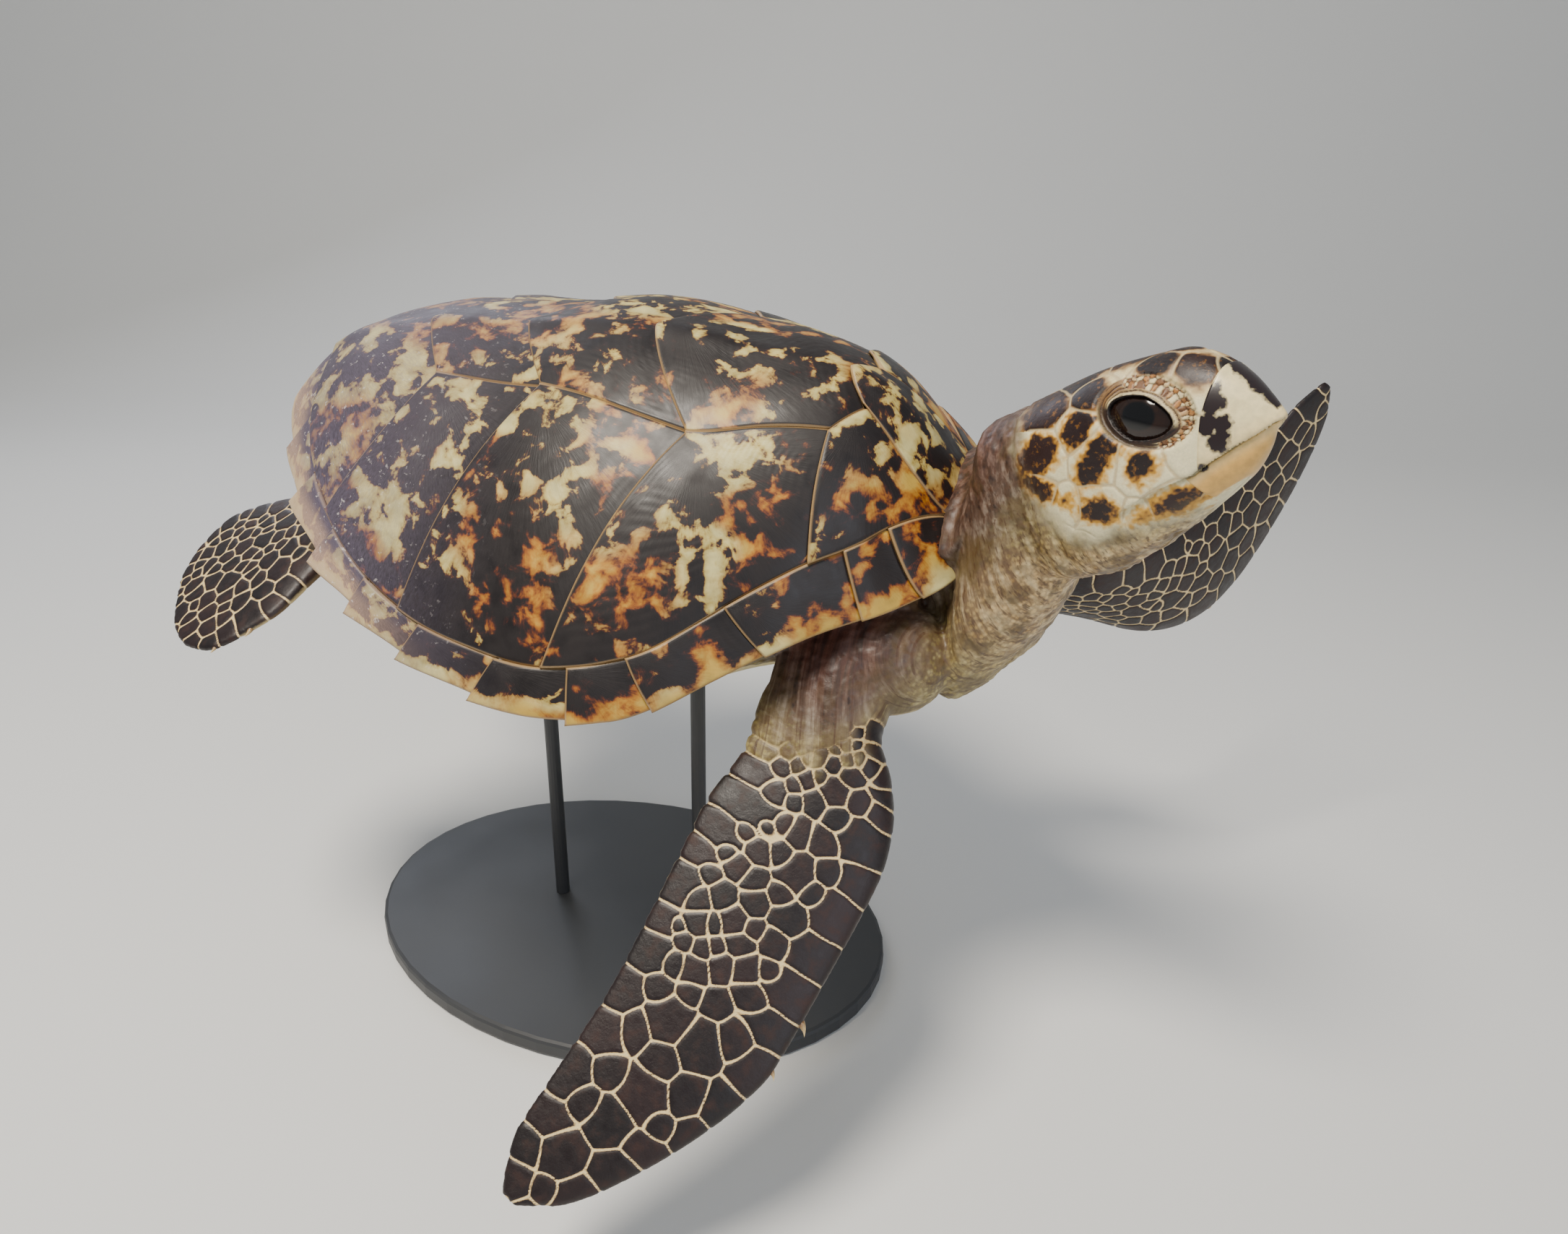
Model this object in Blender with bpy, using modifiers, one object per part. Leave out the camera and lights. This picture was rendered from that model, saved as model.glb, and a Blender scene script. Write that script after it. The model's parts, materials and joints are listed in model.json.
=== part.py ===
"""Hawksbill sea turtle, a life-size still model, banked on a plain display stand.

The animal is modelled in its own frame: +X to the head, +Y to its left, +Z up, with the
shell's rim near z = 0.  An empty then banks it and lifts it over the stand.  Shell places are
given as (t, s): t runs 0 to 1 from the front of the shell to its rear, s is 0 on the keel and
1 on the rim.  Lengths in the shape tables are fractions of SHELL, the straight shell length.
"""
import bpy
from math import asin, cos, pi, radians, sin
from mathutils import Matrix, Vector

SHELL = 0.48                      # straight length of the upper shell
HEAD = 0.285 * SHELL              # nape to beak tip
PLATE_BED = 0.0040                # shell surface to the underside of the plates
PLATE_FRONT = 0.0018              # a plate's thickness where the plate before it overlaps it
PLATE_REAR = 0.0058               # and at its raised rear edge
GAP = 0.0004                      # clearance between pieces that touch
FLESH_GAP = 0.0013                # clearance between the plates and the flesh they lie on
CUT_GAP = 0.0008                  # clearance that a cut leaves round the piece it is cut for
BELLY_THICK = 0.0045              # plates of the lower shell
BANK = radians(22)                # the right side is down by this much
BANK_YAW = radians(17.6)          # direction of the level axis it is banked about
BODY_LIFT = 0.395                 # rim level over the floor
BASE_SIZE = (0.42, 0.30)          # stand's base plate
BASE_THICK = 0.014
ROD_RADIUS = 0.0055
ROD_PLACES = ((0.10, -0.01), (-0.16, 0.0))      # rods under the belly, in shell lengths


def clear_scene():
    for obj in list(bpy.data.objects):
        bpy.data.objects.remove(obj, do_unlink=True)


def curve(knots, x):
    """A smooth curve through (x, value) knots that doesn't overshoot between them."""
    if x <= knots[0][0]:
        return knots[0][1]
    if x >= knots[-1][0]:
        return knots[-1][1]
    steps = [(b[1] - a[1]) / (b[0] - a[0]) for a, b in zip(knots, knots[1:])]

    def slope(i):
        if i == 0 or i == len(knots) - 1:
            return steps[0] if i == 0 else steps[-1]
        before, after = steps[i - 1], steps[i]
        return 0.0 if before * after <= 0 else 2 * before * after / (before + after)

    i = max(j for j in range(len(knots) - 1) if knots[j][0] <= x)
    span = knots[i + 1][0] - knots[i][0]
    f = (x - knots[i][0]) / span
    a, b = knots[i][1], knots[i + 1][1]
    return (a * (1 + 2 * f) * (1 - f) ** 2 + b * f * f * (3 - 2 * f)
            + span * f * (1 - f) * (slope(i) * (1 - f) - slope(i + 1) * f))


def blend(a, b, f):
    return a + (b - a) * f


def smooth(f):
    f = min(max(f, 0.0), 1.0)
    return f * f * (3 - 2 * f)


# ---------------------------------------------------------------- shell surface
HALF_WIDTH = ((0, 0.07), (0.03, 0.126), (0.08, 0.183), (0.15, 0.24), (0.25, 0.322), (0.35, 0.395),
              (0.45, 0.417), (0.55, 0.403), (0.65, 0.376), (0.75, 0.334), (0.85, 0.252),
              (0.93, 0.156), (0.98, 0.08), (1, 0.03))
CROWN = ((0, 0.018), (0.1, 0.128), (0.2, 0.208), (0.3, 0.248), (0.45, 0.264), (0.6, 0.24),
         (0.75, 0.179), (0.88, 0.117), (1, 0.026))
RIM_LEVEL = ((0, 0.034), (0.15, 0.02), (0.35, -0.042), (0.6, -0.05), (0.8, -0.006), (1, 0.01))
ARCH = 1.8                        # roundness of the cross arch
BELLY_DEPTH = ((0.03, 0.20), (0.12, 0.185), (0.3, 0.135), (0.6, 0.10), (0.8, 0.085), (0.94, 0.04))
FLANK = ((0.03, 0.90), (0.2, 0.88), (0.35, 0.84), (0.6, 0.85), (0.74, 0.82), (0.84, 0.72),
         (0.93, 0.42))            # half the width of the flesh under the shell, as s


def shell_point(t, s):
    rise = curve(CROWN, t) * (1 - abs(s) ** ARCH)
    return SHELL * Vector((0.5 - t, s * curve(HALF_WIDTH, t), curve(RIM_LEVEL, t) + rise))


def shell_normal(t, s):
    step = 0.004
    s = max(min(s, 0.985), -0.985)
    t = min(max(t, 0.012), 0.985)
    along = shell_point(t - step, s) - shell_point(t + step, s)
    across = shell_point(t, s + step) - shell_point(t, s - step)
    return along.cross(across).normalized()


def on_shell(t, s, height):
    return shell_point(t, s) + shell_normal(t, s) * height


# ---------------------------------------------------------------- mesh helpers
def material(name, colour, rough):
    mat = bpy.data.materials.new(name)
    mat.use_nodes = True
    bsdf = mat.node_tree.nodes["Principled BSDF"]
    bsdf.inputs["Base Color"].default_value = (*colour, 1)
    bsdf.inputs["Roughness"].default_value = rough
    mat.diffuse_color = (*colour, 1)
    return mat


def solid(name, verts, faces, mat, parent, collection):
    mesh = bpy.data.meshes.new(name)
    mesh.from_pydata([tuple(v) for v in verts], [], faces)
    mesh.materials.append(mat)
    mesh.validate()
    mesh.shade_smooth()
    mesh.set_sharp_from_angle(angle=radians(35))
    obj = bpy.data.objects.new(name, mesh)
    collection.objects.link(obj)
    obj.parent = parent
    return obj


def loft(name, rings, mat, parent, collection):
    """A closed body through rings of points: each ring joined to the next, ends capped."""
    n = len(rings[0])
    verts = [p for ring in rings for p in ring]
    faces = []
    for r in range(len(rings) - 1):
        for k in range(n):
            a, b = r * n + k, r * n + (k + 1) % n
            faces.append((a, b, b + n, a + n))
    first = sum(rings[0], Vector()) / n
    last = sum(rings[-1], Vector()) / n
    verts += [first, last]
    for k in range(n):
        j = (k + 1) % n
        faces.append((len(verts) - 2, j, k))
        top = (len(rings) - 1) * n
        faces.append((len(verts) - 1, top + k, top + j))
    return solid(name, verts, faces, mat, parent, collection)


def slab(name, top, bottom, mat, parent, collection):
    """A plate between two grids of points, with a clearance left all round its edge."""
    rows, cols = len(top), len(top[0])
    for grid in (top, bottom):
        moved = {}
        for i in range(rows):
            for j in range(cols):
                if 0 < i < rows - 1 and 0 < j < cols - 1:
                    continue
                inner_i = min(max(i, 1), rows - 2)
                inner_j = min(max(j, 1), cols - 2)
                shift = Vector()
                if inner_i != i:
                    shift += (grid[inner_i][j] - grid[i][j]).normalized() * GAP
                if inner_j != j:
                    shift += (grid[i][inner_j] - grid[i][j]).normalized() * GAP
                moved[i, j] = grid[i][j] + shift
        for (i, j), p in moved.items():
            grid[i][j] = p
    verts = [p for grid in (top, bottom) for row in grid for p in row]
    size = rows * cols
    faces = []
    for i in range(rows - 1):
        for j in range(cols - 1):
            a = i * cols + j
            faces.append((a, a + 1, a + cols + 1, a + cols))
            faces.append((size + a, size + a + cols, size + a + cols + 1, size + a + 1))
    rim = [j for j in range(cols)] + [i * cols + cols - 1 for i in range(1, rows)]
    rim += [(rows - 1) * cols + j for j in range(cols - 2, -1, -1)]
    rim += [i * cols for i in range(rows - 2, 0, -1)]
    for a, b in zip(rim, rim[1:] + rim[:1]):
        faces.append((b, a, a + size, b + size))
    return solid(name, verts, faces, mat, parent, collection)


def faces_out(obj):
    """Turns an inside-out mesh the right way round."""
    mesh = obj.data
    volume = 0.0
    for poly in mesh.polygons:
        vs = [mesh.vertices[i].co for i in poly.vertices]
        for k in range(1, len(vs) - 1):
            volume += vs[0].dot(vs[k].cross(vs[k + 1]))
    if volume < 0:
        mesh.flip_normals()


# ---------------------------------------------------------------- shell plates
RIM_SEAMS = (0, 0.05, 0.108, 0.2, 0.305, 0.394, 0.518, 0.63, 0.715, 0.793, 0.876, 0.944, 1.0)
INNER_SEAM = ((0.045, 0.42), (0.105, 0.62), (0.145, 0.73), (0.255, 0.82), (0.345, 0.871),
              (0.406, 0.895), (0.496, 0.91), (0.609, 0.912), (0.70, 0.90), (0.765, 0.865),
              (0.835, 0.80), (0.892, 0.62), (0.93, 0))
TOOTH = (0, 0, 0, 0.004, 0.008, 0.012, 0.014, 0.018, 0.03, 0.04, 0.045, 0.05)
KEEL_SEAMS = (0.045, 0.192, 0.436, 0.612, 0.758, 0.93)
CREST_SEAMS = ((0.164, 0.156), (0.346, 0.331), (0.545, 0.262), (0.70, 0.26))
WING = (0.193, 0.302)             # widest point of the second keel plate
COSTAL_ROWS = (7, 9, 6, 6)        # strips of each side plate: three for each rim plate below it
COSTAL_FOOT = (0, 7 / 3, 16 / 3, 22 / 3, 28 / 3)    # where their seams meet the rim plates
COSTAL_BULGE = (0, 0.004, 0.012, 0.014, 0)


def along_list(points, q):
    i = min(int(q), len(points) - 2)
    f = q - i
    return tuple(blend(a, b, f) for a, b in zip(points[i], points[i + 1]))


def inner_seam(q):
    t = curve([(i, p[0]) for i, p in enumerate(INNER_SEAM)], q)
    s = curve([(i, p[1]) for i, p in enumerate(INNER_SEAM)], q)
    return t, s


def plate_height(a):
    """The top of a plate over the shell surface: thin in front, raised at the rear edge."""
    return blend(PLATE_FRONT, PLATE_REAR, smooth(a)) - PLATE_BED


def plate_grids(place, rows, cols):
    """Top and bottom grids from place(a, b), which gives (t, s); a runs to the rear."""
    top, bottom = [], []
    for i in range(rows + 1):
        a = i / rows
        spots = [place(a, j / cols) for j in range(cols + 1)]
        top.append([on_shell(t, s, plate_height(a)) for t, s in spots])
        bottom.append([on_shell(t, s, -PLATE_BED) for t, s in spots])
    return top, bottom


def keel_plate_place(index):
    """One of the five plates over the backbone; b runs from the left edge to the right."""
    front_keel, rear_keel = KEEL_SEAMS[index - 1], KEEL_SEAMS[index]
    if index == 1:
        edge = ((0.045, 0.42), CREST_SEAMS[0])
    elif index == 2:
        edge = (CREST_SEAMS[0], WING, CREST_SEAMS[1])
    elif index in (3, 4):
        edge = (CREST_SEAMS[index - 2], CREST_SEAMS[index - 1])
    else:
        return last_keel_plate_place

    def place(a, b):
        across = 1 - 2 * b
        if len(edge) == 3:
            knee = 0.25
            side = along_list(edge, a / knee if a < knee else 1 + (a - knee) / (1 - knee))
        else:
            side = along_list(edge, a)
        keel_t = blend(front_keel, rear_keel, a)
        return blend(keel_t, side[0], abs(across) ** 1.3), side[1] * across
    return place


def last_keel_plate_place(a, b):
    across = 1 - 2 * b
    inner = min(abs(across) * 2, 1)
    front = (blend(KEEL_SEAMS[4], CREST_SEAMS[3][0], inner ** 1.3), CREST_SEAMS[3][1] * inner)
    if abs(across) > 0.5:
        foot = inner_seam(COSTAL_FOOT[4])
        front = tuple(blend(p, q, abs(across) * 2 - 1) for p, q in zip(CREST_SEAMS[3], foot))
    rear = inner_seam(blend(12, 10, abs(across)))
    side = 1 if across >= 0 else -1
    t, s = (blend(p, q, a) for p, q in zip(front, rear))
    return t, s * side


def costal_place(index, side):
    """One of the four side plates; b runs from the keel plates down to the rim plates."""
    crest = {1: ((0.045, 0.42), CREST_SEAMS[0], WING), 2: (WING, CREST_SEAMS[1]),
             3: (CREST_SEAMS[1], CREST_SEAMS[2]), 4: (CREST_SEAMS[2], CREST_SEAMS[3])}[index]
    foot_a, foot_b = COSTAL_FOOT[index - 1], COSTAL_FOOT[index]
    bulge_a, bulge_b = COSTAL_BULGE[index - 1], COSTAL_BULGE[index]

    def place(a, b):
        if side < 0:
            b = 1 - b
        if len(crest) == 3:
            top = along_list(crest, a / 0.8 if a < 0.8 else 1 + (a - 0.8) / 0.2)
        else:
            top = along_list(crest, a)
        foot = inner_seam(blend(foot_a, foot_b, a))
        t = blend(top[0], foot[0], b) + blend(bulge_a, bulge_b, a) * sin(pi * b)
        return t, side * blend(top[1], foot[1], b)
    return place


def rim_plate_place(index, side):
    """One of the twelve plates of the rim; its outer rear corner juts out as a tooth."""
    def place(a, b):
        if side < 0:
            b = 1 - b
        q = index - 1 + a
        inner = inner_seam(q)
        outer_t = curve([(i, t) for i, t in enumerate(RIM_SEAMS)], q)
        reach = 1 + TOOTH[index - 1] * (smooth(a) - 0.35) / (1 - inner[1])
        return blend(inner[0], outer_t, b * reach), side * blend(inner[1], 1, b * reach)
    return place


def nuchal_place(a, b):
    across = 1 - 2 * b
    width = blend(1.0, 0.42, a)
    return blend(0, 0.045, a), across * width


def make_shell(mats, parent, collection):
    plates = [("nuchal", nuchal_place, 3, 6)]
    for k in range(1, 6):
        rows, cols = (5, 6) if k < 5 else (4, 12)
        plates.append((f"vertebral_{k}", keel_plate_place(k), rows, cols))
    for side, label in ((-1, "right"), (1, "left")):
        for k in range(1, 5):
            plates.append((f"costal_{label}_{k}", costal_place(k, side),
                           COSTAL_ROWS[k - 1], 5))
        for k in range(1, 13):
            plates.append((f"marginal_{label}_{k}", rim_plate_place(k, side), 3, 3))
    for name, place, rows, cols in plates:
        obj = slab(name, *plate_grids(place, rows, cols), mats["shell"], parent, collection)
        faces_out(obj)


def make_shell_cutter(mats, parent, cutters):
    """One sheet a little larger than all the plates: what it cuts keeps clear of them."""
    rows, cols = 30, 24
    top, bottom = [], []
    for i in range(rows + 1):
        spots = [(blend(-0.004, 1.006, i / rows), 1.045 * (1 - 2 * j / cols))
                 for j in range(cols + 1)]
        top.append([on_shell(t, s, PLATE_REAR) for t, s in spots])
        bottom.append([on_shell(t, s, -PLATE_BED - 2 * CUT_GAP) for t, s in spots])
    tool = slab("shell_cutter", top, bottom, mats["shell"], parent, cutters)
    faces_out(tool)
    hide_tool(tool)
    return tool


# ---------------------------------------------------------------- trunk and lower shell
TRUNK_TOP = 14                    # points over the back of a ring, and under the belly
TRUNK_FRONT, TRUNK_REAR = 0.052, 0.925
BRIDGE = ((0.03, 0.60), (0.24, 0.66), (0.36, 0.98), (0.62, 0.98), (0.74, 0.62), (0.95, 0.5))


def belly_point(t, v, drop=0.0):
    """A point of the belly: v is 0 on the midline and 1 at the flank."""
    side = curve(FLANK, t)
    edge = on_shell(t, side, -PLATE_BED - FLESH_GAP)
    low = SHELL * (curve(RIM_LEVEL, t) - curve(BELLY_DEPTH, t)) - drop
    lip = edge.z - 0.010
    round_off = (1 - min(abs(v), 1) ** 3.2) ** 0.62
    return Vector((edge.x, v * (edge.y + drop * 0.6), blend(lip, low, round_off)))


def trunk_ring(t):
    side = curve(FLANK, t)
    ring = []
    for k in range(TRUNK_TOP + 1):
        s = side * (1 - 2 * k / TRUNK_TOP)
        ring.append(on_shell(t, s, -PLATE_BED - FLESH_GAP))
    for k in range(TRUNK_TOP + 1):
        ring.append(belly_point(t, sin(pi / 2 * (2 * k / TRUNK_TOP - 1))))
    return ring


def make_trunk(mats, parent, collection):
    count = 22
    stations = [blend(TRUNK_FRONT, TRUNK_REAR, k / count) for k in range(count + 1)]
    trunk = loft("trunk", [trunk_ring(t) for t in stations], mats["skin"], parent, collection)
    faces_out(trunk)
    under = stations[1:22:2]
    rows, cols = len(under) - 1, 12
    top, bottom = [], []
    for i, t in enumerate(under):
        reach = curve(BRIDGE, t) * (1 - 0.5 * abs(2 * i / rows - 1) ** 6)
        vs = [sin(asin(reach) * (1 - 2 * j / cols)) for j in range(cols + 1)]
        top.append([belly_point(t, v, 2 * FLESH_GAP) for v in vs])
        bottom.append([belly_point(t, v, 2 * FLESH_GAP + BELLY_THICK) for v in vs])
    plastron = slab("plastron", top, bottom, mats["belly"], parent, collection)
    faces_out(plastron)
    return trunk


# ---------------------------------------------------------------- head and neck
HEAD_PLACE = SHELL * Vector((0.539, -0.033, 0.175))
HEAD_YAW, HEAD_PITCH, HEAD_ROLL = radians(-23.7), radians(39.8), radians(-17.8)
RING = 20
# along the head, as fractions of HEAD: top, bottom, half width, and height of the widest place
HEAD_TOP = ((0, 0.19), (0.2, 0.225), (0.45, 0.25), (0.7, 0.242), (0.82, 0.185), (0.9, 0.105),
            (0.96, 0.015), (1, -0.06))
HEAD_LOW = ((0, -0.50), (0.2, -0.50), (0.4, -0.45), (0.55, -0.385), (0.7, -0.31), (0.85, -0.225),
            (0.93, -0.145), (0.965, -0.10), (1, -0.08))
HEAD_WIDE = ((0, 0.25), (0.2, 0.26), (0.42, 0.25), (0.6, 0.215), (0.75, 0.165), (0.86, 0.115),
             (0.95, 0.055), (1, 0.008))
HEAD_MID = ((0, -0.05), (0.5, -0.04), (0.8, -0.03), (1, -0.065))
NECK_SWELL, THROAT_SWELL = 0.10, 0.80         # how far the neck bulges, above and below


def head_matrix():
    turn = (Matrix.Rotation(HEAD_YAW, 4, "Z") @ Matrix.Rotation(-HEAD_PITCH, 4, "Y")
            @ Matrix.Rotation(HEAD_ROLL, 4, "X"))
    return Matrix.Translation(HEAD_PLACE) @ turn


def head_ring(x):
    top, low = curve(HEAD_TOP, x), curve(HEAD_LOW, x)
    wide, mid = curve(HEAD_WIDE, x), curve(HEAD_MID, x)
    ring = []
    for k in range(RING):
        angle = 2 * pi * k / RING
        c, s = cos(angle), sin(angle)
        y = wide * (abs(c) ** 0.85) * (1 if c >= 0 else -1)
        height = (top - mid) if s >= 0 else (mid - low)
        z = mid + height * (abs(s) ** 0.85) * (1 if s >= 0 else -1)
        ring.append(Vector((x * HEAD, y * HEAD, z * HEAD)))
    return ring


def make_head(mats, parent, collection, cutters):
    matrix = head_matrix()
    stations = [0, 0.07, 0.15, 0.24, 0.33, 0.42, 0.51, 0.6, 0.68, 0.75, 0.81, 0.86, 0.9, 0.935,
                0.965, 0.985, 1]
    rings = [[matrix @ p for p in head_ring(x)] for x in stations]
    head = loft("head", rings, mats["skin"], parent, collection)
    faces_out(head)
    for side, label in ((-1, "right"), (1, "left")):
        place = matrix @ (HEAD * Vector((0.60, side * 0.125, 0.05)))
        radius = 0.098 * HEAD
        socket = ball(f"socket_{label}", place, radius + GAP, 16, 10, mats["eye"], parent, cutters)
        hide_tool(socket)
        cut(head, socket)
        ball(f"eye_{label}", place, radius, 16, 10, mats["eye"], parent, collection)
    return matrix


def ball(name, place, radius, segments, rings, mat, parent, collection):
    bpy.ops.mesh.primitive_uv_sphere_add(segments=segments, ring_count=rings, radius=radius)
    obj = bpy.context.object
    obj.name = name
    obj.data.materials.append(mat)
    obj.data.shade_smooth()
    for old in list(obj.users_collection):
        old.objects.unlink(obj)
    collection.objects.link(obj)
    obj.parent = parent
    obj.location = place
    return obj


def hide_tool(obj):
    obj.hide_render = True
    obj.display_type = "WIRE"


def cut(obj, tool):
    mod = obj.modifiers.new("cut_" + tool.name, "BOOLEAN")
    mod.operation = "DIFFERENCE"
    mod.object = tool
    mod.solver = "EXACT"


def resample(ring, n):
    """n points spaced evenly round a closed ring, starting at its leftmost middle point."""
    closed = ring + [ring[0]]
    lengths = [0.0]
    for a, b in zip(closed, closed[1:]):
        lengths.append(lengths[-1] + (b - a).length)
    points = []
    for k in range(n):
        want = lengths[-1] * k / n
        i = max(j for j in range(len(lengths) - 1) if lengths[j] <= want)
        f = (want - lengths[i]) / max(lengths[i + 1] - lengths[i], 1e-9)
        points.append(closed[i].lerp(closed[i + 1], f))
    return points


def make_neck(matrix, mats, parent, collection):
    """The neck runs from the front of the trunk, up and round to the back of the head."""
    base = resample(trunk_ring(TRUNK_FRONT), RING)
    back = [matrix @ p for p in head_ring(0)]
    centre_base = sum(base, Vector()) / RING
    centre_back = sum(back, Vector()) / RING
    forward = matrix.to_3x3() @ Vector((1, 0, 0))
    start = min(range(RING), key=lambda k: (base[k] - centre_base).normalized().dot(
        (back[0] - centre_back).normalized()) * -1)
    base = base[start:] + base[:start]
    if (base[RING // 4] - base[0]).dot(back[RING // 4] - back[0]) < 0:
        base = [base[0]] + base[:0:-1]
    pull = 0.12 * SHELL
    count = 9
    rings = []
    for k in range(count + 1):
        f = k / count
        push_a = Vector((1, 0, 0.35)).normalized() * pull * f * (1 - f) ** 2
        push_b = forward * pull * f * f * (1 - f)
        centre = centre_base.lerp(centre_back, smooth(f)) + push_a * 2 - push_b * 2
        ring = []
        for a, b in zip(base, back):
            offset = (a - centre_base).lerp(b - centre_back, smooth(f))
            swell = NECK_SWELL if offset.z > 0 else THROAT_SWELL
            ring.append(centre + offset * (1 + swell * sin(pi * f)))
        rings.append(ring)
    rings[0] = [p + Vector((GAP, 0, 0)) for p in rings[0]]
    rings[-1] = [p - forward * GAP for p in rings[-1]]
    neck = loft("neck", rings, mats["skin"], parent, collection)
    faces_out(neck)
    return neck


# ---------------------------------------------------------------- flippers and tail
# front flipper outline, from the shoulder (u = 0) to the tip, as fractions of SHELL
FRONT_LENGTH = 0.64
LEADING = ((-0.15, 0.05), (-0.06, 0.055), (0, 0.06), (0.03, 0.095), (0.075, 0.128),
           (0.135, 0.148), (0.24, 0.157),
           (0.375, 0.163), (0.42, 0.154), (0.475, 0.134), (0.55, 0.096), (0.612, 0.052),
           (0.64, 0.01))
TRAILING = ((-0.15, -0.10), (0.03, -0.09), (0.11, -0.07), (0.16, -0.073), (0.23, -0.064),
            (0.33, -0.049), (0.43, -0.038), (0.51, -0.037), (0.573, -0.036), (0.62, -0.02),
            (0.64, -0.008))
FRONT_THICK = ((-0.15, 0.15), (-0.05, 0.13), (0.02, 0.095), (0.1, 0.06), (0.2, 0.044), (0.35, 0.032),
               (0.5, 0.02), (0.6, 0.011), (0.64, 0.006))
HIND_LEAD = ((-0.06, 0.05), (0.05, 0.08), (0.14, 0.14), (0.21, 0.15), (0.26, 0.115),
             (0.285, 0.05))
HIND_TRAIL = ((-0.06, -0.05), (0.05, -0.07), (0.12, -0.12), (0.2, -0.14), (0.255, -0.10),
              (0.285, -0.03))
HIND_THICK = ((-0.06, 0.07), (0.05, 0.045), (0.15, 0.028), (0.24, 0.014), (0.285, 0.006))
CHORD_STEPS = (0, 0.06, 0.2, 0.42, 0.68, 0.9, 1)


def turn(bends, u):
    """The direction of a limb at u, where bends lists the directions that it passes through."""
    for (u0, a), (u1, b) in zip(bends, bends[1:]):
        if u < u1:
            return a.lerp(b, smooth((u - u0) / (u1 - u0))).normalized()
    return bends[-1][1].normalized()


def flipper_rings(root, path, lead, side, outline, stations):
    """Lens-shaped sections set along a path that may bend; lead points to the front edge."""
    leading, trailing, thick = outline
    rings = []
    place, last = Vector(root), 0.0
    step = 0.01
    while last > stations[0]:
        place = place - path(last - step / 2) * step
        last -= step
    for u in stations:
        while last < u - step / 2:
            place = place + path(last + step / 2) * step
            last += step
        along = path(u)
        chord = (lead - along * lead.dot(along)).normalized()
        normal = chord.cross(along).normalized() * side
        front, back, depth = curve(leading, u), curve(trailing, u), curve(thick, u)
        upper, lower = [], []
        for f in CHORD_STEPS:
            v = blend(front, back, f)
            lens = 1.9 * (f ** 0.55) * (1 - f) ** 0.8
            upper.append(place + chord * v + normal * (depth * 0.55 * lens))
            lower.append(place + chord * v - normal * (depth * 0.45 * lens))
        rings.append([p * SHELL for p in upper + lower[-2:0:-1]])
    return rings


def make_flippers(mats, parent, collection, blockers):
    front = (LEADING, TRAILING, FRONT_THICK)
    hind = (HIND_LEAD, HIND_TRAIL, HIND_THICK)
    stations = (-0.09, -0.04, 0.0, 0.03, 0.07, 0.11, 0.16, 0.22, 0.29, 0.36, 0.42, 0.48, 0.54,
                0.59, 0.62, 0.64)
    hind_stations = (-0.05, 0.0, 0.05, 0.1, 0.15, 0.19, 0.225, 0.255, 0.275, 0.285)
    sweep = Vector((-0.296, -0.867, -0.399)).normalized()
    shoulder = Vector((0.692, 0.584, -0.424)).normalized()
    reach = Vector((0.989, 0.037, 0.143)).normalized()
    spread = Vector((0.462, 0.795, 0.393)).normalized()
    tip = Vector((0.356, 0.554, 0.752)).normalized()
    rear = Vector((-0.76, -0.58, -0.30)).normalized()
    jobs = (
        ("flipper_front_right", (0.38, -0.25, -0.10),
         lambda u: turn(((-0.08, Vector((0.12, -0.94, -0.31))), (0.04, sweep)), u),
         Vector((0.94, -0.19, -0.28)), -1, front, stations),
        ("flipper_front_left", (0.513, 0.218, -0.254),
         lambda u: turn(((-0.10, shoulder), (0.09, reach), (0.34, spread), (0.64, tip)), u),
         Vector((0.564, 0.518, -0.643)), 1, front, (-0.18, -0.13) + stations),
        ("flipper_hind_right", (-0.338, -0.153, -0.068), lambda u: rear,
         Vector((0.55, -0.80, 0.05)), -1, hind, hind_stations),
    )
    for name, root, path, lead, side, outline, spots in jobs:
        lead.normalize()
        obj = loft(name, flipper_rings(root, path, lead, side, outline, spots), mats["skin"],
                   parent, collection)
        faces_out(obj)
        for tool in blockers:
            cut(obj, tool)
    mirror_copy(bpy.data.objects["flipper_hind_right"], "flipper_hind_left", collection)


def mirror_copy(obj, name, collection):
    """The other side's twin of a finished piece."""
    bpy.context.view_layer.update()
    ready = obj.evaluated_get(bpy.context.evaluated_depsgraph_get())
    twin = bpy.data.objects.new(name, bpy.data.meshes.new_from_object(ready))
    twin.data.transform(Matrix.Diagonal((1, -1, 1, 1)))
    twin.data.flip_normals()
    twin.parent = obj.parent
    collection.objects.link(twin)


def swollen_copy(obj, amount, collection):
    """A cutter: the body a little larger all round, so that what it cuts keeps clear of it."""
    tool = obj.copy()
    tool.data = obj.data.copy()
    tool.name = obj.name + "_cutter"
    normals = [v.normal.copy() for v in tool.data.vertices]
    for v, n in zip(tool.data.vertices, normals):
        v.co += n * amount
    collection.objects.link(tool)
    hide_tool(tool)
    return tool


def make_tail(mats, parent, collection):
    base = resample(trunk_ring(TRUNK_REAR), 16)
    centre = sum(base, Vector()) / 16
    tip = Vector((-0.515 * SHELL, 0, -0.03 * SHELL))
    rings = []
    for k in range(7):
        f = k / 6
        shrink = 1 - 0.93 * f ** 0.7
        middle = centre.lerp(tip, f)
        rings.append([middle + (p - centre) * shrink - Vector((GAP, 0, 0)) for p in base])
    tail = loft("tail", rings, mats["skin"], parent, collection)
    faces_out(tail)
    return tail


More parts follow.
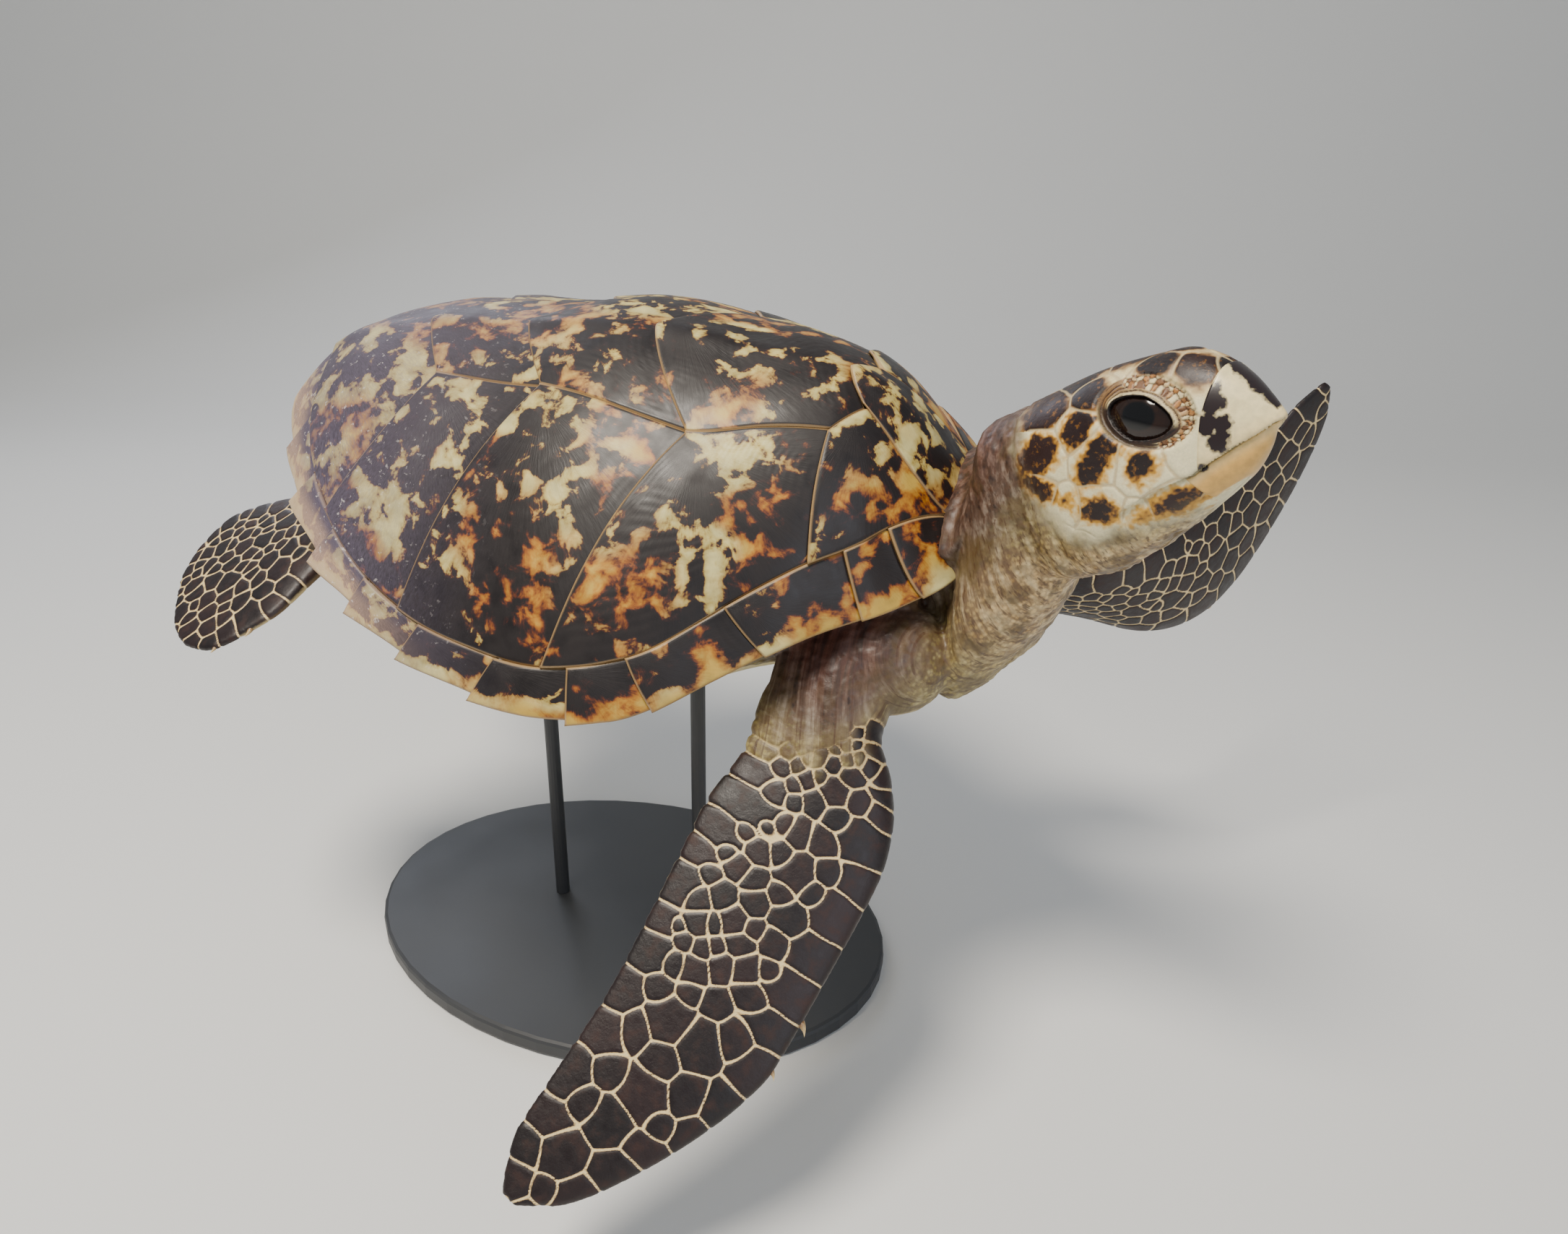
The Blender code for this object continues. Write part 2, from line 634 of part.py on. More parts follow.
# ---------------------------------------------------------------- stand
def make_stand(mats, pose, parent, collection, blockers):
    bpy.ops.mesh.primitive_cylinder_add(vertices=48, radius=0.5, depth=BASE_THICK)
    base = bpy.context.object
    base.name = "stand_base"
    base.data.transform(Matrix.Diagonal((BASE_SIZE[0], BASE_SIZE[1], 1, 1)))
    base.location = (0, 0, BASE_THICK / 2)
    bevel = base.modifiers.new("soft_edge", "BEVEL")
    bevel.width = 0.003
    bevel.segments = 2
    bevel.limit_method = "ANGLE"
    pieces = [base]
    for k, (x, y) in enumerate(ROD_PLACES):
        belly = pose @ (SHELL * Vector((x, y, 0)) + Vector((0, 0, -0.045)))
        height = belly.z - BASE_THICK - GAP
        bpy.ops.mesh.primitive_cylinder_add(vertices=16, radius=ROD_RADIUS, depth=height)
        rod = bpy.context.object
        rod.name = ("stand_rod_front", "stand_rod_rear")[k]
        rod.location = (belly.x, belly.y, BASE_THICK + GAP + height / 2)
        for tool in blockers:
            cut(rod, tool)
        pieces.append(rod)
    middle = (pieces[1].location + pieces[2].location) / 2
    base.location.x, base.location.y = middle.x, middle.y
    for obj in pieces:
        obj.data.materials.append(mats["stand"])
        obj.data.shade_smooth()
        obj.data.set_sharp_from_angle(angle=radians(35))
        for old in list(obj.users_collection):
            old.objects.unlink(obj)
        collection.objects.link(obj)
        obj.parent = parent


def centre_on_origin(collection, empties):
    """Moves everything so that the whole stands on z = 0 with its box centred."""
    bpy.context.view_layer.update()
    depsgraph = bpy.context.evaluated_depsgraph_get()
    low, high = Vector((1e9,) * 3), Vector((-1e9,) * 3)
    for obj in collection.objects:
        ready = obj.evaluated_get(depsgraph)
        for v in ready.data.vertices:
            p = ready.matrix_world @ v.co
            low = Vector(map(min, low, p))
            high = Vector(map(max, high, p))
    shift = Vector((-(low.x + high.x) / 2, -(low.y + high.y) / 2, -low.z))
    for empty in empties:
        empty.location += shift
    bpy.context.view_layer.update()


def main():
    clear_scene()
    model = bpy.data.collections.new("hawksbill_turtle")
    tools = bpy.data.collections.new("cutters")
    bpy.context.scene.collection.children.link(model)
    bpy.context.scene.collection.children.link(tools)
    mats = {
        "shell": material("shell_plates", (0.16, 0.075, 0.03), 0.35),
        "belly": material("belly_plates", (0.62, 0.48, 0.25), 0.45),
        "skin": material("skin", (0.30, 0.22, 0.13), 0.55),
        "eye": material("eye", (0.015, 0.012, 0.012), 0.08),
        "stand": material("stand_metal", (0.05, 0.05, 0.055), 0.4),
    }
    turtle = bpy.data.objects.new("turtle_pose", None)
    stand = bpy.data.objects.new("stand_place", None)
    for empty in (turtle, stand):
        bpy.context.scene.collection.objects.link(empty)
    axis = Vector((cos(BANK_YAW), sin(BANK_YAW), 0))
    pose = Matrix.Translation((0, 0, BODY_LIFT)) @ Matrix.Rotation(BANK, 4, axis)
    turtle.matrix_world = pose

    make_shell(mats, turtle, model)
    trunk = make_trunk(mats, turtle, model)
    head = make_head(mats, turtle, model, tools)
    shell_cutter = make_shell_cutter(mats, turtle, tools)
    cut(make_neck(head, mats, turtle, model), shell_cutter)
    cut(make_tail(mats, turtle, model), shell_cutter)
    blockers = [swollen_copy(trunk, CUT_GAP, tools)]
    cut(bpy.data.objects["plastron"], blockers[0])
    for name in ("plastron", "neck"):
        blockers.append(swollen_copy(bpy.data.objects[name], CUT_GAP, tools))
    make_flippers(mats, turtle, model, blockers + [shell_cutter])
    thick_trunk = swollen_copy(trunk, 2 * FLESH_GAP + BELLY_THICK / 2, tools)
    make_stand(mats, pose, stand, model, (thick_trunk, blockers[1]))
    centre_on_origin(model, (turtle, stand))


main()
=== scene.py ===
"""Hawksbill sea turtle: the museum model's visible pieces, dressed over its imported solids.

A young animal at life size, swimming, banked to its right and held over a plain base by two
rods.  The pieces follow the model's making: shell plates, lower shell, skin, horn, eyes, stand.
"""
import json
import bmesh
import bpy
import numpy as np
from math import cos, pi, radians, sin
from mathutils import Matrix, Vector

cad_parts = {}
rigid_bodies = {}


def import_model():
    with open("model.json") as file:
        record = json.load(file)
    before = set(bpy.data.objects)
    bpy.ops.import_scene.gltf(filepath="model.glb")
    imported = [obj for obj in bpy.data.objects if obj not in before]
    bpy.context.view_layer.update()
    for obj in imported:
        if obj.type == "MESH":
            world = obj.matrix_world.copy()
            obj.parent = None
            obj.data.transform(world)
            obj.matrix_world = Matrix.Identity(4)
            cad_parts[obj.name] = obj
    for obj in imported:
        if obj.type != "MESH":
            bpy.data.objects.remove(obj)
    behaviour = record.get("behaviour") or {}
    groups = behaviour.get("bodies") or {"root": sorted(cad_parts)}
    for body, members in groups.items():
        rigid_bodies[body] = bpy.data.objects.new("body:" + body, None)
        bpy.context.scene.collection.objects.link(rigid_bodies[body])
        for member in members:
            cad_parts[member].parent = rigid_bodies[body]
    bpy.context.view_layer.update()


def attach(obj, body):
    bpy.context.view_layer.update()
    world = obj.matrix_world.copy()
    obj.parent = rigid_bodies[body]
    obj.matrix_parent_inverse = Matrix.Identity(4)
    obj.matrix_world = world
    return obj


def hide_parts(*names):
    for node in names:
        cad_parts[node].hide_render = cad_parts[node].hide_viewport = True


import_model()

# ------------------------------------------------------------ pose, camera
# The animal is built level, +X to the head, +Y to its left, and then banked 22 degrees about
# a level axis and lifted over the base.  The camera looks down on its right side.
SHELL = 0.48                       # straight length of the upper shell
BANK, BANK_YAW = radians(22), radians(17.6)
RIM_PLACE = Vector((-0.07970, 0.01230, 0.395))     # where the animal's own origin stands
pose = Matrix.Translation(RIM_PLACE) @ Matrix.Rotation(
    BANK, 4, Vector((cos(BANK_YAW), sin(BANK_YAW), 0)))

VIEW_TURN, VIEW_RISE, VIEW_TILT = radians(17.61), radians(45.91), radians(1.53)
VIEW_AIM = SHELL * Vector((0.2531, -0.0734, -0.1471))
VIEW_DISTANCE = 1.4728 * SHELL
SENSOR, LENS = 36.0, 0.6826        # sensor in mm, and the lens in widths of the sensor
back = Vector((sin(VIEW_TURN) * cos(VIEW_RISE), -cos(VIEW_TURN) * cos(VIEW_RISE),
               sin(VIEW_RISE)))
level = Vector((cos(VIEW_TURN), sin(VIEW_TURN), 0))
upward = back.cross(level)
right = cos(VIEW_TILT) * level + sin(VIEW_TILT) * upward
top = cos(VIEW_TILT) * upward - sin(VIEW_TILT) * level
camera = bpy.data.objects.new("camera", bpy.data.cameras.new("camera"))
bpy.context.scene.collection.objects.link(camera)
camera.data.sensor_width = SENSOR
camera.data.lens = LENS * SENSOR
camera.data.clip_start = 0.01
camera.matrix_world = (pose @ Matrix.Translation(VIEW_AIM + back * VIEW_DISTANCE)
                       @ Matrix((right, top, back)).transposed().to_4x4())
bpy.context.scene.camera = camera

# ------------------------------------------------------------ shell plates
# Thirty-eight keratin scutes over the back: five on the keel, four each side, the small one at
# the nape and twelve round each rim.  Each is its own closed plate, thin in front and raised
# at the rear, where it laps over the next like a roof shingle.
HALF_WIDTH = ((0, 0.07), (0.03, 0.126), (0.08, 0.183), (0.15, 0.24), (0.25, 0.322), (0.35, 0.395),
              (0.45, 0.417), (0.55, 0.403), (0.65, 0.376), (0.75, 0.334), (0.85, 0.252),
              (0.93, 0.156), (0.98, 0.08), (1, 0.03))
CROWN = ((0, 0.018), (0.1, 0.128), (0.2, 0.208), (0.3, 0.248), (0.45, 0.264), (0.6, 0.24),
         (0.75, 0.179), (0.88, 0.117), (1, 0.026))
RIM_LEVEL = ((0, 0.034), (0.15, 0.02), (0.35, -0.042), (0.6, -0.05), (0.8, -0.006), (1, 0.01))
# above: half width, height of the keel and level of the rim, against the way to the rear, all
# in shell lengths
ARCH = 1.8                         # roundness of the cross arch
PLATE_BED = 0.0040                 # shell surface to the underside of the plates
PLATE_FRONT, PLATE_REAR = 0.0024, 0.0056           # thickness of a plate, front and rear edge
LAP, RIM_LAP = 0.0032, 0.0012      # how far a plate's rear edge lies over the next
DOME = 0.0007                      # how much a plate rises to its middle
RIDGE, RIDGE_WIDTH = 0.0022, 0.011                 # the ridge along the keel plates
GROWTH_RING, RING_RELIEF = 0.0060, 0.00005         # spacing and height of the growth rings
BEVEL, BEVEL_DEPTH = 0.0018, 0.0009                # the rounding of a plate's edge
BLOTCH = 0.016                     # width of the shell's blotches
WORN_LIP = 0.0045                  # width of the worn lip along a plate's rear edge
# the seams are places (t, s) on the shell, or t alone: t runs 0 to 1 to the rear, s is 0 on the
# keel and 1 on the rim.  First come the rim's own seams, then the line inside its plates, how
# far each rim plate's rear corner stands out, and the seams on the keel and along its plates.
RIM_SEAMS = (0, 0.05, 0.108, 0.2, 0.305, 0.394, 0.518, 0.63, 0.715, 0.793, 0.876, 0.944, 1.0)
NAPE_CORNER = (0.045, 0.42)
INNER_SEAM = (NAPE_CORNER, (0.105, 0.62), (0.145, 0.73), (0.255, 0.82), (0.345, 0.871),
              (0.406, 0.895), (0.496, 0.91), (0.609, 0.912), (0.70, 0.90), (0.765, 0.865),
              (0.835, 0.80), (0.892, 0.62), (0.93, 0))
TOOTH = (0, 0, 0, 0.004, 0.008, 0.012, 0.016, 0.024, 0.042, 0.06, 0.07, 0.08)
KEEL_SEAMS = (0.045, 0.192, 0.436, 0.612, 0.758, 0.93)
CREST_SEAMS = ((0.164, 0.156), (0.346, 0.331), (0.545, 0.262), (0.70, 0.26))
WING = (0.193, 0.302)              # the outer corner of the second keel plate
COSTAL_FOOT = (0, 7 / 3, 16 / 3, 22 / 3, 28 / 3)   # where side seams meet the rim, in rim plates
COSTAL_BULGE = (0, 0.004, 0.012, 0.014, 0)         # how far those seams bow to the rear
GRID = 0.0014            # spacing of the points of a plate


def curve(knots, x):
    """A smooth curve through (x, value) knots that doesn't overshoot between them."""
    xs, ys = np.array(knots, float).T
    steps = np.diff(ys) / np.diff(xs)
    both = steps[:-1] * steps[1:]
    total = np.where(both > 0, steps[:-1] + steps[1:], 1.0)
    slopes = np.concatenate([steps[:1], np.where(both > 0, 2 * both / total, 0), steps[-1:]])
    x = np.clip(x, xs[0], xs[-1])
    i = np.clip(np.searchsorted(xs, x, side="right") - 1, 0, len(xs) - 2)
    span = xs[i + 1] - xs[i]
    f = (x - xs[i]) / span
    return (ys[i] * (1 + 2 * f) * (1 - f) ** 2 + ys[i + 1] * f * f * (3 - 2 * f)
            + span * f * (1 - f) * (slopes[i] * (1 - f) - slopes[i + 1] * f))


def blend(a, b, f):
    return a + (b - a) * f


def smooth(f):
    f = np.clip(f, 0.0, 1.0)
    return f * f * (3 - 2 * f)


def unit(v):
    return v / np.maximum(np.linalg.norm(v, axis=-1, keepdims=True), 1e-12)


def mottle(p, seed=0, octaves=2):
    """Soft random blotches, 0 to 1 and 0.5 on average; p is in blotch widths."""
    total, weight, scale = 0.0, 0.0, 1.0
    for octave in range(octaves):
        q = np.asarray(p, float) * scale + 17.3 * octave
        cell = np.floor(q).astype(np.int64)
        f = q - cell
        f = f * f * (3 - 2 * f)
        value = 0.0
        for corner in range(8):
            pick = np.array([corner & 1, corner >> 1 & 1, corner >> 2 & 1])
            n = (cell + pick) @ np.array([73856093, 19349663, 83492791]) + seed * 2654435
            n = (n ^ (n >> 13)) * 1274126177 & 0x7FFFFFFF
            n = (n ^ (n >> 15)) * 2246822519 & 0x7FFFFFFF
            share = np.prod(np.where(pick, f, 1 - f), -1)
            value = value + share * ((n ^ (n >> 16)) & 0xFFFF) / 65535
        total, weight, scale = total + value / scale, weight + 1 / scale, scale * 2
    return total / weight


def shell_point(t, s):
    """A place on the shell: t runs 0 to 1 to the rear, s is 0 on the keel and 1 on the rim."""
    rise = curve(CROWN, t) * (1 - np.abs(s) ** ARCH)
    return SHELL * np.stack([0.5 - t, s * curve(HALF_WIDTH, t), curve(RIM_LEVEL, t) + rise], -1)


def on_shell(t, s, height):
    """A place at a height over the shell, square to it."""
    step = 0.004
    s_in, t_in = np.clip(s, -0.985, 0.985), np.clip(t, 0.012, 0.985)
    along = shell_point(t_in - step, s_in) - shell_point(t_in + step, s_in)
    across = shell_point(t_in, s_in + step) - shell_point(t_in, s_in - step)
    normal = unit(np.cross(along, across))
    return shell_point(t, s) + normal * np.asarray(height)[..., None]


def along_list(points, q):
    steps = np.arange(len(points))
    return [np.interp(q, steps, [p[k] for p in points]) for k in (0, 1)]


def inner_seam(q):
    """The line inside the rim's plates; q counts those plates from the nape."""
    return [curve([(i, p[k]) for i, p in enumerate(INNER_SEAM)], q) for k in (0, 1)]


def keel_place(index, a, b):
    """Place (t, s) on a keel plate: a runs 0 to 1 to its rear edge, b across it, left to right."""
    across = 1 - 2 * b
    if index == 5:
        inner = np.minimum(np.abs(across) * 2, 1)
        front = [blend(KEEL_SEAMS[4], CREST_SEAMS[3][0], inner ** 1.3),
                 CREST_SEAMS[3][1] * inner]
        foot = inner_seam(COSTAL_FOOT[4])
        f = np.clip(np.abs(across) * 2 - 1, 0, 1)
        front = [blend(p, q, f) for p, q in zip(front, foot)]
        rear = inner_seam(blend(12, 10, np.abs(across)))
        side = np.where(across >= 0, 1, -1)
        t, s = (blend(p, q, a) for p, q in zip(front, rear))
        return t, s * side
    edge = {1: (NAPE_CORNER, CREST_SEAMS[0]), 2: (CREST_SEAMS[0], WING, CREST_SEAMS[1]),
            3: CREST_SEAMS[1:3], 4: CREST_SEAMS[2:4]}[index]
    q = a
    if len(edge) == 3:
        q = np.where(a < 0.25, a / 0.25, 1 + (a - 0.25) / 0.75)
    side = along_list(edge, q)
    keel_t = blend(KEEL_SEAMS[index - 1], KEEL_SEAMS[index], a)
    return blend(keel_t, side[0], np.abs(across) ** 1.3), side[1] * across


def costal_place(index, side, a, b):
    """Place (t, s) on a side plate: a runs to its rear edge, b from the keel to the rim."""
    crest = {1: (NAPE_CORNER, CREST_SEAMS[0], WING), 2: (WING, CREST_SEAMS[1]),
             3: CREST_SEAMS[1:3], 4: CREST_SEAMS[2:4]}[index]
    q = a
    if len(crest) == 3:
        q = np.where(a < 0.8, a / 0.8, 1 + (a - 0.8) / 0.2)
    head = along_list(crest, q)
    foot = inner_seam(blend(COSTAL_FOOT[index - 1], COSTAL_FOOT[index], a))
    bulge = blend(COSTAL_BULGE[index - 1], COSTAL_BULGE[index], a) * np.sin(pi * b)
    return blend(head[0], foot[0], b) + bulge, side * blend(head[1], foot[1], b)


def rim_place(index, side, a, b):
    """Place (t, s) on a rim plate, whose rear corner stands out as a tooth."""
    q = index - 1 + a
    inner = inner_seam(q)
    outer_t = curve(list(enumerate(RIM_SEAMS)), q)
    reach = 1 + TOOTH[index - 1] * (a ** 2.2 - 0.32) / (1 - inner[1])
    return blend(inner[0], outer_t, b * reach), side * blend(inner[1], 1, b * reach)


def nuchal_place(a, b):
    return NAPE_CORNER[0] * a, (1 - 2 * b) * blend(1.0, NAPE_CORNER[1], a)


def linear(hex_colour):
    """An sRGB hex colour as linear RGBA."""
    parts = [int(hex_colour[i:i + 2], 16) / 255 for i in (1, 3, 5)]
    return [c / 12.92 if c <= 0.04045 else ((c + 0.055) / 1.055) ** 2.4 for c in parts] + [1]


def node(mat, kind, inputs=(), out=None, stops=(), **settings):
    """Adds a node to a material, with its settings and links, and gives one of its outputs.

    The inputs are numbers, hex colours or other outputs: in a dict by name, or listed in the
    order of the sockets that the node shows.  Every mix is of colours.
    """
    new = mat.node_tree.nodes.new("ShaderNode" + kind)
    if kind == "Mix":
        new.data_type = "RGBA"
    for key, value in settings.items():
        setattr(new, key, value)
    named = isinstance(inputs, dict)
    sockets = new.inputs if named else [socket for socket in new.inputs if socket.enabled]
    for key, value in inputs.items() if named else enumerate(inputs):
        if isinstance(value, bpy.types.NodeSocket):
            mat.node_tree.links.new(value, sockets[key])
        else:
            sockets[key].default_value = linear(value) if isinstance(value, str) else value
    if stops:
        points = new.color_ramp.elements
        while len(points) < len(stops):
            points.new(0.5)
        for point, (place, colour) in zip(points, stops):
            point.position = place
            point.color = linear(colour)
    return new.outputs[out] if out else next(socket for socket in new.outputs if socket.enabled)


def set_shader(mat, **values):
    """Gives the sockets of a material's shader their values, or links them to outputs."""
    shader = mat.node_tree.nodes["Principled BSDF"]
    for key, value in values.items():
        socket = shader.inputs[key.replace("_", " ")]
        if isinstance(value, bpy.types.NodeSocket):
            mat.node_tree.links.new(value, socket)
        else:
            socket.default_value = value


def new_material(name, **values):
    mat = bpy.data.materials.new(name)
    mat.use_nodes = True
    set_shader(mat, **values)
    return mat


def store(mesh, copies=1, **fields):
    """Keeps numbers or vectors for the points of a mesh, for its material to read."""
    for name, values in fields.items():
        values = np.concatenate([np.asarray(values, np.float32)] * copies)
        number = values.ndim == 1
        layer = mesh.attributes.new(name, "FLOAT" if number else "FLOAT_VECTOR", "POINT")
        layer.data.foreach_set("value" if number else "vector", values.ravel())


def piece(name, verts, faces, mat, slot, *nodes):
    """A finished piece: its mesh, material, body and the solids that it stands for; slot is not
    used.
    """
    mesh = bpy.data.meshes.new(name)
    mesh.from_pydata(np.asarray(verts, float), [], faces)
    mesh.transform(pose)
    mesh.materials.append(mat)
    mesh.shade_smooth()
    obj = bpy.data.objects.new(name, mesh)
    bpy.context.scene.collection.objects.link(obj)
    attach(obj, "root")
    if nodes:
        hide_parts(*nodes)
    return mesh


def slab_faces(rows, cols, flip=False):
    """Faces of a plate between two grids of points, the top one first, and its edge."""
    size = rows * cols
    corner = np.arange(size).reshape(rows, cols)
    top = np.stack([corner[:-1, :-1], corner[:-1, 1:], corner[1:, 1:], corner[1:, :-1]],
                   -1).reshape(-1, 4)
    rim = np.concatenate([corner[0], corner[1:, -1], corner[-1, -2::-1], corner[-2:0:-1, 0]])
    after = np.roll(rim, -1)
    edge = np.stack([after, rim, rim + size, after + size], 1)
    faces = np.concatenate([top, top[:, ::-1] + size, edge])
    return (faces[:, ::-1] if flip else faces).tolist()


# Scute keratin: a translucent horn, grown in layers, wet and half polished by the water.
# It gives near-black maroon clouds in cream and amber horn, with thin pale edges.
def make_scute_horn():
    mat = new_material("scute_keratin", Coat_Weight=0.14, Coat_Roughness=0.26, IOR=1.5)
    light, amber, edge, lip, dust, worn = (
        node(mat, "Attribute", out="Fac", attribute_name=name)
        for name in ("light", "amber", "edge", "lip", "dust", "worn"))
    chart, fan = (node(mat, "Attribute", out="Vector", attribute_name=name)
                  for name in ("chart", "fan"))
    # each noise has its place, scale, detail and roughness
    fine = node(mat, "TexNoise", (chart, 240.0, 5.0, 0.65))
    spots = node(mat, "TexNoise", {"Vector": chart, "Scale": 78.0, "Detail": 4.0,
                                   "Roughness": 0.55, "Distortion": 0.35})
    depth = node(mat, "TexNoise", (chart, 90.0, 3.0))
    streak = node(mat, "TexNoise", (fan, 1.0, 3.0, 0.6))
    speck = node(mat, "TexNoise", (fan, 3.4, 5.0, 0.8))

    def roughened(value, grain, weight):
        even = node(mat, "Math", (grain, weight, -weight / 2), operation="MULTIPLY_ADD")
        return node(mat, "Math", (value, even), operation="ADD")

    cloud = roughened(roughened(roughened(light, fine, 0.10), spots, 1.25), streak, 0.16)
    cream = node(mat, "ValToRGB", (cloud,),
                 stops=((0.42, "#110707"), (0.485, "#200e0d"), (0.508, "#512a10"),
                        (0.528, "#8e7333"), (0.575, "#b3a058"), (0.72, "#c9bd80")))
    warm = node(mat, "ValToRGB", (cloud,),
                stops=((0.42, "#110707"), (0.475, "#2a0f0a"), (0.515, "#5a2608"),
                       (0.565, "#8a4d0b"), (0.65, "#aa7319"), (0.80, "#bb983e")))
    horn = node(mat, "Mix", (amber, cream, warm))
    dim = node(mat, "MapRange", (depth, 0.3, 0.7, 0.78, 1.15))
    toned = node(mat, "Mix", (1.0, horn, dim), blend_type="MULTIPLY")
    # the thin new horn along every edge, and the broad worn lip at the rear
    thin = node(mat, "MapRange", (edge, 0.0005, 0.0014, 0.85, 0.0))
    broad = node(mat, "MapRange", (roughened(lip, fine, 0.10), 0.45, 0.75, 0.0, 0.85))
    pale = node(mat, "Math", (thin, broad), operation="MAXIMUM")
    edged = node(mat, "Mix", (pale, toned, "#a5865a"))
    # a film of fine silt and algae over the rear; its lilac-grey tint is partly a painted bluish
    # reflection
    film_and_sheen = node(mat, "MapRange", (speck, 0.40, 0.62, 0.38, 0.92))
    film_and_sheen = node(mat, "Math", (film_and_sheen, dust), operation="MULTIPLY")
    silt_and_sheen_colour = node(mat, "Mix", (worn, "#655c70", "#c9a894"))
    with_film_and_sheen = node(mat, "Mix", (film_and_sheen, edged, silt_and_sheen_colour))
    grit = node(mat, "MapRange", (fine, 0.62, 0.66))
    grit = node(mat, "Math", (grit, film_and_sheen), operation="MULTIPLY")
    with_film_and_sheen = node(mat, "Mix", (grit, with_film_and_sheen, "#d8d2d0"))
    gloss = node(mat, "MapRange", (depth, 0.3, 0.7, 0.42, 0.62))
    matt = node(mat, "Math", (film_and_sheen, 0.35, gloss), operation="MULTIPLY_ADD")
    bump = node(mat, "Bump", {"Strength": 0.25, "Distance": 0.0006, "Height": streak})
    set_shader(mat, Base_Color=with_film_and_sheen, Roughness=matt, Normal=bump)
    return mat


scute_horn = make_scute_horn()


